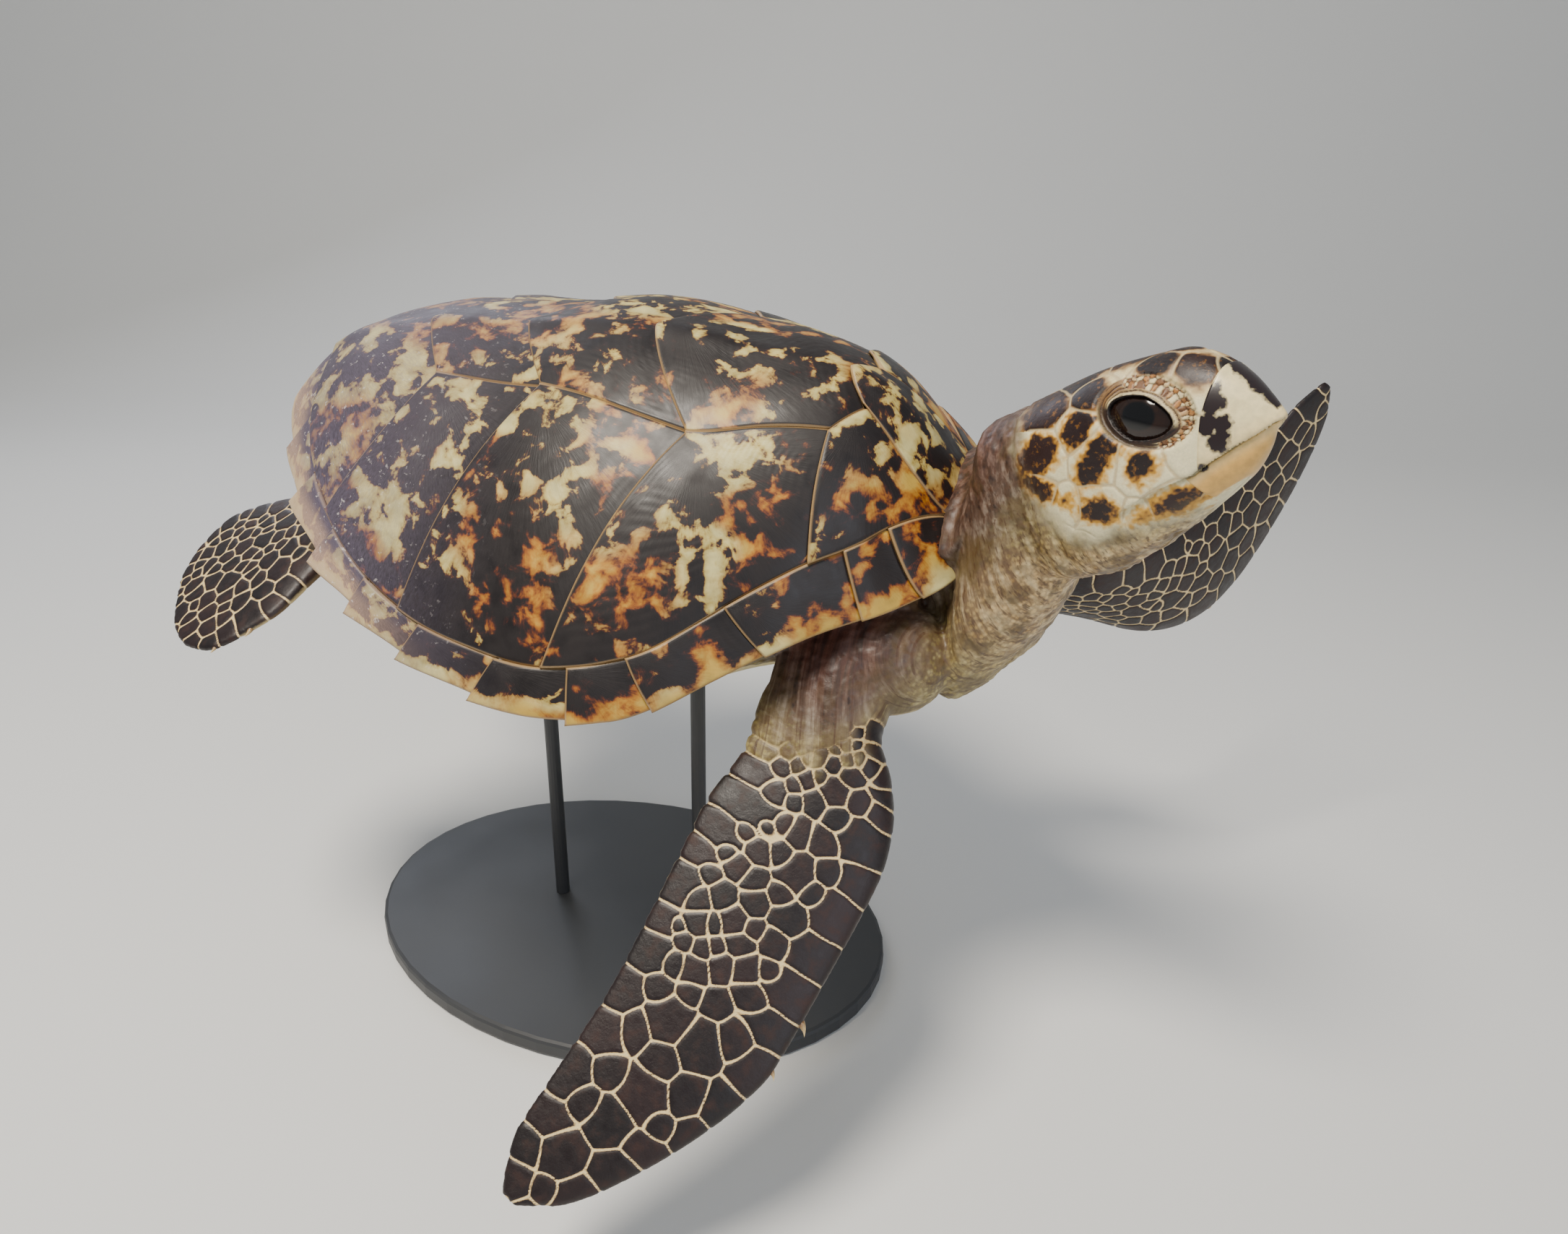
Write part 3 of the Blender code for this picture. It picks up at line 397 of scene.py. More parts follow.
def make_plate(name, place, centre, kind, seed):
    """One scute; centre is its growth centre in (a, b), from which its markings fan out."""
    def points(a, b, height):
        t, s = place(a, b)
        return on_shell(t, s, height), t, s

    line = np.linspace(0, 1, 60)
    mid = points(line, np.full(60, 0.5), np.zeros(60))[0]
    wide = points(np.full(60, 0.55), line, np.zeros(60))[0]
    length = np.linalg.norm(np.diff(mid, axis=0), axis=1).sum()
    width = np.linalg.norm(np.diff(wide, axis=0), axis=1).sum()
    rows, cols = int(length / GRID) + 4, int(width / GRID) + 4
    a, b = np.meshgrid(np.linspace(0, 1, rows), np.linspace(0, 1, cols), indexing="ij")
    base, t, s = points(a, b, np.zeros_like(a))
    step_a = np.linalg.norm(np.diff(base, axis=0), axis=-1)
    step_b = np.linalg.norm(np.diff(base, axis=1), axis=-1)
    run_a = np.vstack([np.zeros(cols), np.cumsum(step_a, 0)])
    run_b = np.hstack([np.zeros((rows, 1)), np.cumsum(step_b, 1)])
    rear = run_a[-1] - run_a
    edge = np.minimum(np.minimum(run_a, rear), np.minimum(run_b, run_b[:, -1:] - run_b))

    # growth rings: copies of the outline round the growth centre
    ca, cb = centre
    ring = np.maximum(np.where(a > ca, (a - ca) / (1 - ca), (ca - a) / ca),
                      np.where(b > cb, (b - cb) / (1 - cb), (cb - b) / max(cb, 0.02)))
    ring = np.clip(ring, 0, 1)
    k, m = int(ca * (rows - 1)), int(cb * (cols - 1))
    origin = base[k, m]
    ahead = unit(base[max(k - 6, 0), m] - origin)
    out = unit(np.cross(ahead, unit(np.cross(ahead, base[k, min(m + 6, cols - 1)] - origin))))
    if (base[rows // 2, cols - 1] - origin) @ out < 0:
        out = -out
    u, v = (base - origin) @ ahead, (base - origin) @ out
    reach = np.hypot(u, v)
    middle_way = 0.0 if abs(cb - 0.5) < 0.2 else 0.9
    angle = (np.arctan2(v, u) - middle_way + pi) % (2 * pi) - pi

    def chart(x, y, layer):
        """Coordinates for a pattern: a layer apart for each plate, so that no two are alike."""
        return np.stack([x, y, np.full_like(u, seed * layer)], -1)

    wave = mottle(chart(u / 0.03, v / 0.03, 1), seed)
    ripple = np.sin(2 * pi * (ring * length / GROWTH_RING + 2.2 * wave))
    height = blend(PLATE_FRONT, PLATE_REAR, smooth(a)) - PLATE_BED
    height += DOME * (1 - (2 * b - 1) ** 2) + 0.0006 * (wave - 0.5)
    height += RING_RELIEF * ripple * smooth(ring * 3) * smooth((wave - 0.35) / 0.3)
    height -= BEVEL_DEPTH * (1 - smooth(edge / BEVEL)) ** 2
    if kind == "keel":
        height += RIDGE * np.exp(-((b - 0.5) * width / RIDGE_WIDTH) ** 2) * smooth(a * 1.5)
    upper = points(a, b, height)[0]
    lap = (RIM_LAP if kind == "rim" else LAP) * smooth((a - 0.7) / 0.3)
    backward = unit(upper[-1] - upper[-3])[None] * lap[..., None]
    upper += backward
    under = np.where(a > 0.85, height - blend(0.004, 0.0016, smooth((a - 0.85) / 0.1)),
                     -PLATE_BED)
    lower = points(a, b, np.maximum(under, -PLATE_BED))[0] + backward
    probe = np.cross(upper[1, 0] - upper[0, 0], upper[0, 1] - upper[0, 0])
    flip = probe @ (upper[0, 0] - lower[0, 0]) > 0
    verts = np.concatenate([upper.reshape(-1, 3), lower.reshape(-1, 3)])
    mesh = piece(name + "_scute", verts, slab_faces(rows, cols, flip), scute_horn,
                 "shell_plates", name)

    # markings
    spot = chart(u / BLOTCH, v / BLOTCH, 3.1)
    warp = 1.1 * (mottle(spot * 0.6, seed + 40) - 0.5)
    blotch = mottle(spot + warp[..., None], seed, 3)
    streak = mottle(chart(angle * 9.0, reach / 0.042, 1.7) + 0.5 * warp[..., None], seed + 9, 2)
    amber = mottle(spot * 0.40, seed + 70)
    worn = np.zeros_like(u)
    # silt film over the rear quarter, partly a painted bluish reflection
    dust = smooth((t - 0.50) / 0.35) * (0.62 + 0.33 * np.abs(s) ** 2)
    if kind == "costal":
        fanned = smooth((ring - 0.35) / 0.35) * smooth((reach - 0.035) / 0.03)
        light = blend(blotch, streak, 0.55 * fanned)
        light = 0.5 + (light - 0.5) * 0.85
        light = light + 0.12 * np.exp(-((ring - 0.62) / 0.16) ** 2) - 0.065
        light = light - 0.08 * smooth((ring - 0.82) / 0.12)
        warmth = smooth((amber - 0.46) / 0.14) * smooth((ring - 0.2) / 0.4)
    elif kind == "keel":
        light = blend(blotch, streak, 0.35 * smooth((ring - 0.2) / 0.5))
        light = 0.5 + (light - 0.5) * 0.9 - 0.03
        warmth = smooth((amber - 0.42) / 0.2) * 0.85
    else:
        light = 0.5 + (blotch - 0.5) * 0.8 + 0.34 * smooth((b - 0.5) / 0.4) - 0.10
        warmth = smooth((amber - 0.30) / 0.2) * (1 - smooth((t - 0.45) / 0.2))
        worn = smooth((b - 0.1) / 0.5) * smooth((t - 0.55) / 0.2)
        # the rim's silt film, with its painted bluish reflection
        dust = smooth((t - 0.45) / 0.35) * 0.95
    lip = (1 - rear / WORN_LIP) * (0.4 if kind == "rim" else 0.75)
    store(mesh, 2, light=light.ravel(), amber=warmth.ravel(), edge=edge.ravel(),
          lip=lip.ravel(), dust=dust.ravel(), worn=worn.ravel(),
          chart=chart(u, v, 0.37).reshape(-1, 3),
          fan=chart(angle * 34, reach / 0.012, 1.3).reshape(-1, 3))


make_plate("nuchal", nuchal_place, (0.85, 0.5), "rim", 3)
for index in range(1, 6):
    make_plate(f"vertebral_{index}", lambda a, b, k=index: keel_place(k, a, b),
               (0.88, 0.5), "keel", 10 + index)
for side, label in ((-1, "right"), (1, "left")):
    for index in range(1, 5):
        make_plate(f"costal_{label}_{index}",
                   lambda a, b, k=index, m=side: costal_place(k, m, a, b),
                   (0.86, 0.10), "costal", 20 + index)
    for index in range(1, 13):
        make_plate(f"marginal_{label}_{index}",
                   lambda a, b, k=index, m=side: rim_place(k, m, a, b),
                   (0.88, 0.15), "rim", 40 + index)

# ------------------------------------------------------------ lower shell
# The plastron: pale keratin plates over the belly, joined to the rim by a bridge each side.
# It is yellow cream with a few brown clouds, and shallow seams part its plates.
FLANK = ((0.03, 0.90), (0.2, 0.88), (0.35, 0.84), (0.6, 0.85), (0.74, 0.82), (0.84, 0.72),
         (0.93, 0.42))
BELLY_DEPTH = ((0.03, 0.20), (0.12, 0.185), (0.3, 0.135), (0.6, 0.10), (0.8, 0.085),
               (0.94, 0.04))
BRIDGE = ((0.03, 0.60), (0.24, 0.66), (0.36, 0.98), (0.62, 0.98), (0.74, 0.62), (0.95, 0.5))
FLESH_GAP, BELLY_THICK = 0.0013, 0.0045
BELLY_LIP = 0.003                  # how far below the rim the belly begins
WAIST = 0.05                       # how far the trunk draws in under the rim, of its width
TRUNK_FRONT, TRUNK_REAR = 0.052, 0.925
BELLY_SEAMS = (0.20, 0.34, 0.47, 0.60, 0.72)       # along the shell, between its plate pairs
BELLY_SEAM_DEPTH = 0.0007


def belly_point(t, v, drop=0.0):
    edge = on_shell(t, curve(FLANK, t), np.full_like(t, -PLATE_BED - FLESH_GAP))
    low = SHELL * (curve(RIM_LEVEL, t) - curve(BELLY_DEPTH, t)) - drop
    lip = edge[..., 2] - BELLY_LIP
    round_off = (1 - np.minimum(np.abs(v), 1) ** 3.2) ** 0.62
    return np.stack([edge[..., 0], v * (edge[..., 1] + drop * 0.6),
                     blend(lip, low, round_off)], -1)


def layer(mat, under, over, source, low, high, start=0.0, end=1.0):
    """Lays one colour over another: its share runs from start to end as source nears high."""
    share = node(mat, "MapRange", (source, low, high, start, end))
    return node(mat, "Mix", (share, under, over))


def make_plastron_horn():
    horn = new_material("plastron_keratin", Roughness=0.42, Coat_Weight=0.15,
                        Coat_Roughness=0.25, IOR=1.54)
    cloud, seam = (node(horn, "Attribute", out="Fac", attribute_name=name)
                   for name in ("cloud", "seam"))
    chart = node(horn, "Attribute", out="Vector", attribute_name="chart")
    grain = node(horn, "TexNoise", (chart, 160.0, 4.0))
    pale = node(horn, "Mix", (grain, "#d8c78e", "#e8dcb2"))
    brown = layer(horn, pale, "#5b3017", cloud, 0.60, 0.70, 0.0, 0.8)
    set_shader(horn, Base_Color=layer(horn, brown, "#8f7446", seam, 0.0004, 0.0016, 0.6, 0.0))
    return horn


def make_plastron():
    rows, cols = ((160, 120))
    first, last = TRUNK_FRONT + 0.04, TRUNK_REAR - 0.04
    t = np.linspace(first, last, rows)[:, None] * np.ones(cols)
    across = np.ones((rows, 1)) * np.linspace(1, -1, cols)
    run = np.abs(2 * (t - first) / (last - first) - 1)
    reach = curve(BRIDGE, t) * (1 - 0.5 * run ** 6)
    v = np.sin(np.arcsin(reach) * across)
    inner = belly_point(t, v, 2 * FLESH_GAP)
    seam = np.abs(inner[..., 1])
    for knot in BELLY_SEAMS:
        seam = np.minimum(seam, np.abs(t - knot - 0.02 * np.cos(across * 3)) * SHELL)
    edge = SHELL * np.minimum((1 - run) * 0.45, (1 - np.abs(across)) * 0.3)
    thick = BELLY_THICK * (0.35 + 0.65 * smooth(edge / 0.006))
    thick -= BELLY_SEAM_DEPTH * (1 - smooth(seam / 0.0022))
    outer = belly_point(t, v, 2 * FLESH_GAP + thick).reshape(-1, 3)
    mesh = piece("plastron_plates", np.concatenate([inner.reshape(-1, 3), outer]),
                 slab_faces(rows, cols), make_plastron_horn(), "belly_plates", "plastron")
    store(mesh, 2, cloud=mottle(outer / 0.03, 5, 3), seam=seam.ravel(), chart=outer)


make_plastron()

# ------------------------------------------------------------ skin
# One hide over head, neck, shoulders, flippers, belly and tail.  Round bodies are set at the
# joints and lofted between, then drawn into one closed surface, so no seam shows.
HEAD = 0.285 * SHELL               # nape to beak tip
HEAD_PLACE = SHELL * Vector((0.539, -0.033, 0.175))
HEAD_YAW, HEAD_PITCH, HEAD_ROLL = radians(-23.7), radians(39.8), radians(-17.8)
# the head's crown, underside, half width and widest level, as fractions of its length from the
# nape, 0, to the beak's tip, 1
HEAD_TOP = ((0, 0.19), (0.2, 0.225), (0.45, 0.25), (0.7, 0.242), (0.82, 0.185), (0.9, 0.105),
            (0.96, 0.015), (1, -0.06))
HEAD_LOW = ((0, -0.50), (0.2, -0.50), (0.4, -0.45), (0.55, -0.385), (0.7, -0.31),
            (0.85, -0.225), (0.93, -0.145), (0.965, -0.10), (1, -0.08))
HEAD_WIDE = ((0, 0.25), (0.2, 0.26), (0.42, 0.25), (0.6, 0.215), (0.75, 0.165), (0.86, 0.115),
             (0.95, 0.055), (1, 0.008))
HEAD_MID = ((0, -0.05), (0.5, -0.04), (0.8, -0.03), (1, -0.065))
NECK_SWELL, THROAT_SWELL = 0.10, 0.80          # how much the neck and throat bulge
NECK_ROOT = 0.80                   # width of the neck's root against the trunk's front end
EYE_OPENING = np.array((0.607, 0.205, 0.052)) * HEAD   # middle of the opening, left side
EYE_HALF = np.array((0.150, 0.122, 0.100)) * HEAD      # half sizes of the ball: along, up, out
LID_OVER = np.array((0.0050, 0.0050, 0.0010))          # how much larger the lids' dome is
# the flippers' front and rear edges and their thickness, against the way from the shoulder or
# hip to the tip, in shell lengths
LEADING = ((-0.15, 0.05), (-0.06, 0.055), (0, 0.06), (0.03, 0.095), (0.075, 0.128),
           (0.135, 0.148), (0.24, 0.157), (0.375, 0.163), (0.42, 0.154), (0.475, 0.134),
           (0.55, 0.096), (0.612, 0.052), (0.64, 0.01))
TRAILING = ((-0.15, -0.10), (0.03, -0.09), (0.11, -0.07), (0.16, -0.073), (0.23, -0.064),
            (0.33, -0.049), (0.43, -0.038), (0.51, -0.037), (0.573, -0.036), (0.62, -0.02),
            (0.64, -0.008))
FRONT_THICK = ((-0.15, 0.15), (-0.05, 0.13), (0.02, 0.095), (0.1, 0.06), (0.2, 0.044),
               (0.35, 0.032), (0.5, 0.02), (0.6, 0.011), (0.64, 0.006))
HIND_LEAD = ((-0.06, 0.05), (0.05, 0.08), (0.14, 0.14), (0.21, 0.15), (0.26, 0.115),
             (0.285, 0.05))
HIND_TRAIL = ((-0.06, -0.05), (0.05, -0.07), (0.12, -0.12), (0.2, -0.14), (0.255, -0.10),
              (0.285, -0.03))
HIND_THICK = ((-0.06, 0.07), (0.05, 0.045), (0.15, 0.028), (0.24, 0.014), (0.285, 0.006))
EDGE_THICK = 0.0026                # the hide's thickness along a flipper's edge
VOXEL = 0.0012

head_frame = (Matrix.Translation(HEAD_PLACE) @ Matrix.Rotation(HEAD_YAW, 4, "Z")
              @ Matrix.Rotation(-HEAD_PITCH, 4, "Y") @ Matrix.Rotation(HEAD_ROLL, 4, "X"))
head_turn = np.array(head_frame.to_3x3())
head_origin = np.array(HEAD_PLACE)


def from_head(p):
    return np.asarray(p) @ head_turn.T + head_origin


def to_head(p):
    return (np.asarray(p) - head_origin) @ head_turn


def head_ring(x, count=64):
    high, low, wide, mid = (float(curve(k, x)) for k in (HEAD_TOP, HEAD_LOW, HEAD_WIDE,
                                                         HEAD_MID))
    angle = 2 * pi * np.arange(count) / count
    c, s = np.cos(angle), np.sin(angle)
    height = np.where(s >= 0, high - mid, mid - low)
    return HEAD * np.stack([np.full(count, x), wide * np.sign(c) * np.abs(c) ** 0.85,
                            mid + height * np.sign(s) * np.abs(s) ** 0.85], -1)


def trunk_ring(t, top_points=28, waist=1.0):
    """A ring of points round the trunk: along under the shell plates, and back over the belly."""
    side = float(curve(FLANK, t)) * waist
    s = side * (1 - 2 * np.arange(top_points + 1) / top_points)
    t_top = np.full_like(s, t)
    upper = on_shell(t_top, s, np.full_like(s, -PLATE_BED - FLESH_GAP))
    v = waist * np.sin(pi / 2 * (2 * np.arange(top_points + 1) / top_points - 1))
    lower = belly_point(np.full_like(v, t), v)
    upper[:, 2] = np.maximum(upper[:, 2], lower[:, 2] + 0.006)
    return np.concatenate([upper, lower])


def resample(ring, n):
    closed = np.vstack([ring, ring[:1]])
    run = np.concatenate([[0], np.cumsum(np.linalg.norm(np.diff(closed, axis=0), axis=1))])
    want = run[-1] * np.arange(n) / n
    return np.stack([np.interp(want, run, closed[:, k]) for k in range(3)], -1)


def neck_rings(count=26, n=60):
    base = resample(trunk_ring(TRUNK_FRONT, 14, NECK_ROOT), n)
    rear = from_head(head_ring(0, n))
    centre_base, centre_rear = base.mean(0), rear.mean(0)
    forward = head_turn @ np.array([1.0, 0, 0])
    aim = unit(rear[0] - centre_rear)
    start = int(np.argmax(unit(base - centre_base) @ aim))
    base = np.roll(base, -start, axis=0)
    if (base[n // 4] - base[0]) @ (rear[n // 4] - rear[0]) < 0:
        base = np.roll(base[::-1], 1, axis=0)
    pull = 0.12 * SHELL
    rings = []
    for k in range(count + 1):
        f = k / count
        push = unit(np.array([1, 0, 0.35])) * pull * f * (1 - f) ** 2
        hold = forward * pull * f * f * (1 - f)
        centre = blend(centre_base, centre_rear, smooth(f)) + push * 2 - hold * 2
        offset = blend(base - centre_base, rear - centre_rear, smooth(f))
        swell = blend(THROAT_SWELL, NECK_SWELL, smooth((offset[:, 2:] / SHELL + 0.07) / 0.10))
        rings.append(centre + offset * (1 + swell * sin(pi * f)))
    return rings


def turn(bends, u):
    for (u0, a), (u1, b) in zip(bends, bends[1:]):
        if u < u1:
            return unit(blend(a, b, float(smooth((u - u0) / (u1 - u0)))))
    return bends[-1][1]


def direction(x, y, z):
    return unit(np.array((x, y, z), float))


# each flipper: where its root is, the directions that its path takes along its length, the
# direction of its front edge, which way its back faces, its outline and how it is mirrored
FRONT, HIND = (LEADING, TRAILING, FRONT_THICK, 0.64), (HIND_LEAD, HIND_TRAIL, HIND_THICK, 0.285)
FLIPPERS = {
    "front_right": ((0.38, -0.25, -0.10),
                    ((-0.08, direction(0.12, -0.94, -0.31)),
                     (0.04, direction(-0.296, -0.867, -0.399))),
                    direction(0.94, -0.19, -0.28), -1, FRONT, -0.09, 1),
    "front_left": ((0.513, 0.218, -0.254),
                   ((-0.10, direction(0.692, 0.584, -0.424)),
                    (0.09, direction(0.989, 0.037, 0.143)),
                    (0.34, direction(0.462, 0.795, 0.393)),
                    (0.64, direction(0.356, 0.554, 0.752))),
                   direction(0.564, 0.518, -0.643), 1, FRONT, -0.18, 1),
    "hind_right": ((-0.338, -0.153, -0.068), ((0, direction(-0.76, -0.58, -0.30)),),
                   direction(0.55, -0.80, 0.05), -1, HIND, -0.05, 1),
    "hind_left": ((-0.338, -0.153, -0.068), ((0, direction(-0.76, -0.58, -0.30)),),
                  direction(0.55, -0.80, 0.05), -1, HIND, -0.05, -1),
}


def limb_frames(name, step=0.005):
    """Place, direction, chord and normal at steps of u along a flipper, in shell lengths."""
    root, bends, lead, side, outline, first, mirror = FLIPPERS[name]
    us = np.arange(first, outline[3] + step / 2, step)
    ways = np.array([turn(bends, u) for u in us])
    places = np.zeros_like(ways)
    zero = int(np.argmin(np.abs(us)))
    places[zero] = np.array(root)
    for k in range(zero + 1, len(us)):
        places[k] = places[k - 1] + (ways[k - 1] + ways[k]) / 2 * step
    for k in range(zero - 1, -1, -1):
        places[k] = places[k + 1] - (ways[k + 1] + ways[k]) / 2 * step
    chords = unit(lead - ways * (ways @ lead)[:, None])
    normals = unit(np.cross(chords, ways)) * side
    flip = np.array((1, mirror, 1))
    return us, places * flip, ways * flip, chords * flip, normals * flip


def flipper_rings(name):
    outline = FLIPPERS[name][4]
    us, places, _, chords, normals = limb_frames(name)
    half = (1 - np.cos(pi * np.linspace(0, 1, 25))) / 2
    rings = []
    for k in range(0, len(us), 2):
        front, rear, depth = (float(curve(table, us[k])) for table in outline[:3])
        lens = depth * 1.9 * half ** 0.55 * (1 - half) ** 0.8
        rounding = np.sqrt(np.clip(np.minimum(half, 1 - half) * (front - rear) * SHELL
                                   / (EDGE_THICK / 2), 0, 1)) * EDGE_THICK / SHELL
        v = blend(front, rear, half)[:, None]
        middle = places[k] + chords[k] * v
        upper = middle + normals[k] * (0.55 * lens + 0.5 * rounding)[:, None]
        lower = middle - normals[k] * (0.45 * lens + 0.5 * rounding)[:, None]
        rings.append(SHELL * np.vstack([upper, lower[-2:0:-1]]))
    return rings


def tail_rings():
    base = resample(trunk_ring(TRUNK_REAR, 14), 32)
    centre = base.mean(0)
    tip = np.array((-0.515, 0, -0.03)) * SHELL
    rings = []
    for f in np.linspace(0, 1, 14):
        shrink = 1 - 0.93 * f ** 0.7
        rings.append(blend(centre, tip, f) + (base - centre) * shrink)
    return rings


def tube_faces(rings, count, start=0):
    """Faces between closed rings of points that follow one another."""
    k = start + np.arange(count) + count * np.arange(rings - 1)[:, None]
    j = np.roll(k, -1, axis=1)
    return np.stack([k, j, j + count, k + count], -1).reshape(-1, 4)


class Clay:
    """Closed bodies gathered before they are drawn into one surface."""

    def __init__(self):
        self.verts, self.faces, self.count = [], [], 0

    def loft(self, rings):
        rings = np.array(rings)
        n = rings.shape[1]
        verts = np.vstack([rings.reshape(-1, 3), rings[0].mean(0), rings[-1].mean(0)])
        total = len(verts)
        k = np.arange(n)
        j = (k + 1) % n
        last = (len(rings) - 1) * n
        faces = tube_faces(len(rings), n).tolist()
        faces += np.stack([np.full(n, total - 2), j, k], 1).tolist()
        faces += np.stack([np.full(n, total - 1), last + k, last + j], 1).tolist()
        centre = verts.mean(0)
        volume = 0.0
        for face in faces:
            a, b, c = (verts[i] - centre for i in (face[0], face[1], face[-1]))
            volume += a @ np.cross(b, c)
        if volume < 0:
            faces = [face[::-1] for face in faces]
        self.faces += [[i + self.count for i in face] for face in faces]
        self.verts.append(verts)
        self.count += total

    def ball(self, centre, radii):
        rings = []
        for f in np.linspace(0.02, 0.98, 20):
            a = 2 * pi * np.arange(32) / 32
            ring = np.stack([np.full(32, -np.cos(pi * f)), np.sin(pi * f) * np.cos(a),
                             np.sin(pi * f) * np.sin(a)], -1)
            rings.append(centre + ring * np.array(radii))
        self.loft(rings)

    def drawn(self, voxel, smoothing):
        mesh = bpy.data.meshes.new("clay")
        mesh.from_pydata(np.vstack(self.verts), [], self.faces)
        obj = bpy.data.objects.new("clay", mesh)
        bpy.context.scene.collection.objects.link(obj)
        draw = obj.modifiers.new("draw", "REMESH")
        draw.mode = "VOXEL"
        draw.voxel_size = voxel
        soft = obj.modifiers.new("soft", "SMOOTH")
        soft.factor = 0.5
        soft.iterations = smoothing
        ready = obj.evaluated_get(bpy.context.evaluated_depsgraph_get())
        result = bpy.data.meshes.new_from_object(ready)
        bpy.data.objects.remove(obj)
        return result


clay = Clay()
clay.loft([trunk_ring(t, 28, 1 - WAIST * sin(pi * t) ** 2)
           for t in np.linspace(TRUNK_FRONT, TRUNK_REAR, 44)])
clay.loft(neck_rings())
head_stations = 1 - (1 - np.linspace(0, 1, 60)) ** 1.35
clay.loft([from_head(head_ring(x)) for x in head_stations])
clay.loft(tail_rings())
for name in FLIPPERS:
    clay.loft(flipper_rings(name))
# the muscle of each shoulder, between the neck and the arm
clay.ball(SHELL * np.array((0.40, -0.155, -0.075)), SHELL * np.array((0.10, 0.085, 0.075)))
clay.ball(SHELL * np.array((0.40, 0.140, -0.115)), SHELL * np.array((0.10, 0.095, 0.115)))
skin_mesh = clay.drawn(VOXEL, 8)


def refine(mesh, chosen):
    """Splits the faces whose corners are all chosen, where the finest detail goes."""
    bm = bmesh.new()
    bm.from_mesh(mesh)
    edges = [e for e in bm.edges if chosen[e.verts[0].index] and chosen[e.verts[1].index]]
    bmesh.ops.subdivide_edges(bm, edges=edges, cuts=1, use_grid_fill=True)
    bm.to_mesh(mesh)
    bm.free()


def coords(mesh):
    flat = np.empty(len(mesh.vertices) * 3, np.float32)
    mesh.vertices.foreach_get("co", flat)
    return flat.reshape(-1, 3).astype(float)


def normals_of(mesh):
    flat = np.empty(len(mesh.vertices) * 3, np.float32)
    mesh.vertex_normals.foreach_get("vector", flat)
    return flat.reshape(-1, 3).astype(float)


def set_coords(mesh, points):
    mesh.vertices.foreach_set("co", points.astype(np.float32).ravel())
    mesh.update()


place = to_head(coords(skin_mesh))
refine(skin_mesh, (place[:, 0] > 0.02 * HEAD) & (np.abs(place[:, 1]) < 0.34 * HEAD)
       & (place[:, 2] > -0.48 * HEAD))
skin = coords(skin_mesh)
outward = normals_of(skin_mesh)
head_place = to_head(skin) / HEAD


def nearest_cells(points, seeds, sizes):
    """Nearest seed, its distance and the margin to the next, all in sizes of the seeds."""
    first = np.full(len(points), 9e9)
    second = np.full(len(points), 9e9)
    which = np.zeros(len(points), int)
    for k, (seed, size) in enumerate(zip(seeds, sizes)):
        d = np.sqrt((((points - seed) / size) ** 2).sum(1))
        closer = d < first
        second = np.where(closer, first, np.minimum(second, d))
        which = np.where(closer, k, which)
        first = np.where(closer, d, first)
    return which, first, second - first


def tone_of(which, seed):
    """A shade of its own for each scale, 0 to 1."""
    return (which * 7919 + seed * 104729) % 101 / 100


# ---- flipper scales: rows along the limb, wide at the front edge and long at the rear one
SCALE_SIZES = {
    # half sizes in metres: rear row along and across, front row, least and greatest between
    # the rows, and about where along the limb they grow to full size
    "front": ((0.0088, 0.0160), (0.0105, 0.0125), (0.0056, 0.0100), 0.07),
    "hind": ((0.0070, 0.0095), (0.0072, 0.0085), (0.0054, 0.0072), 0.0),
}
SCALE_LAG = 0.085                  # how much later the scales begin along the arm's rear edge
HIND_START = 0.05                  # where they begin on a hind flipper
SCALLOP = 0.0014                   # how deep the scales of the rear edge are parted
ROOT_SCALE = 0.42                  # size of the scales at the shoulder against the blade's
TRIES = 5000                       # random places tried for the field's scales


def scale_seeds(kind, outline, seed):
    random = np.random.RandomState(seed)
    rear_size, front_size, (small, large), start = SCALE_SIZES[kind]
    end = outline[3]
    places, sizes = [], []

    def edges(u):
        return float(curve(outline[0], u)) * SHELL, float(curve(outline[1], u)) * SHELL

    def growth(u):
        return float(blend(ROOT_SCALE, 1.0, smooth((u - start * 0.4) / 0.085)))

    for (half_u, half_v), at_rear in ((rear_size, True), (front_size, False)):
        u = -0.05
        while u < end:
            front, rear = edges(u)
            grow = growth(u) * random.uniform(0.74, 1.26)
            deep = half_v * growth(u) * random.uniform(0.75, 1.25)
            if at_rear and kind == "front":
                deep *= float(curve(((0, 1), (0.08, 1.15), (0.18, 1.15), (0.24, 0.62),
                                     (0.45, 0.66), (0.64, 0.8)), u))
                grow *= float(curve(((0.16, 1), (0.24, 1.25)), u))
            deep = min(deep, (front - rear) * 0.32)
            v = rear + 0.62 * deep if at_rear else front - 0.60 * deep
            u += half_u * grow / SHELL
            places.append((u * SHELL, v))
            sizes.append((half_u * grow, deep))
            u += half_u * grow / SHELL
    for _ in range(TRIES):
        u = random.uniform(-0.06, end)
        front, rear = edges(u)
        f = random.uniform(0.06, 0.94)
        toward = smooth(f / 0.55) * (1 - 0.8 * smooth((u - 0.30) / 0.15))
        half = float(blend(large, small, toward)) * growth(u) * random.uniform(0.72, 1.3)
        spot = np.array((u * SHELL, blend(front, rear, f)))
        apart = np.abs(spot - np.array(places)) / (np.array(sizes) * 0.92 + half * 0.92)
        if (np.hypot(apart[:, 0], apart[:, 1]) > 1).all():
            places.append(tuple(spot))
            sizes.append((half * random.uniform(0.85, 1.05), half * random.uniform(0.9, 1.15)))
    return np.array(places), np.array(sizes)


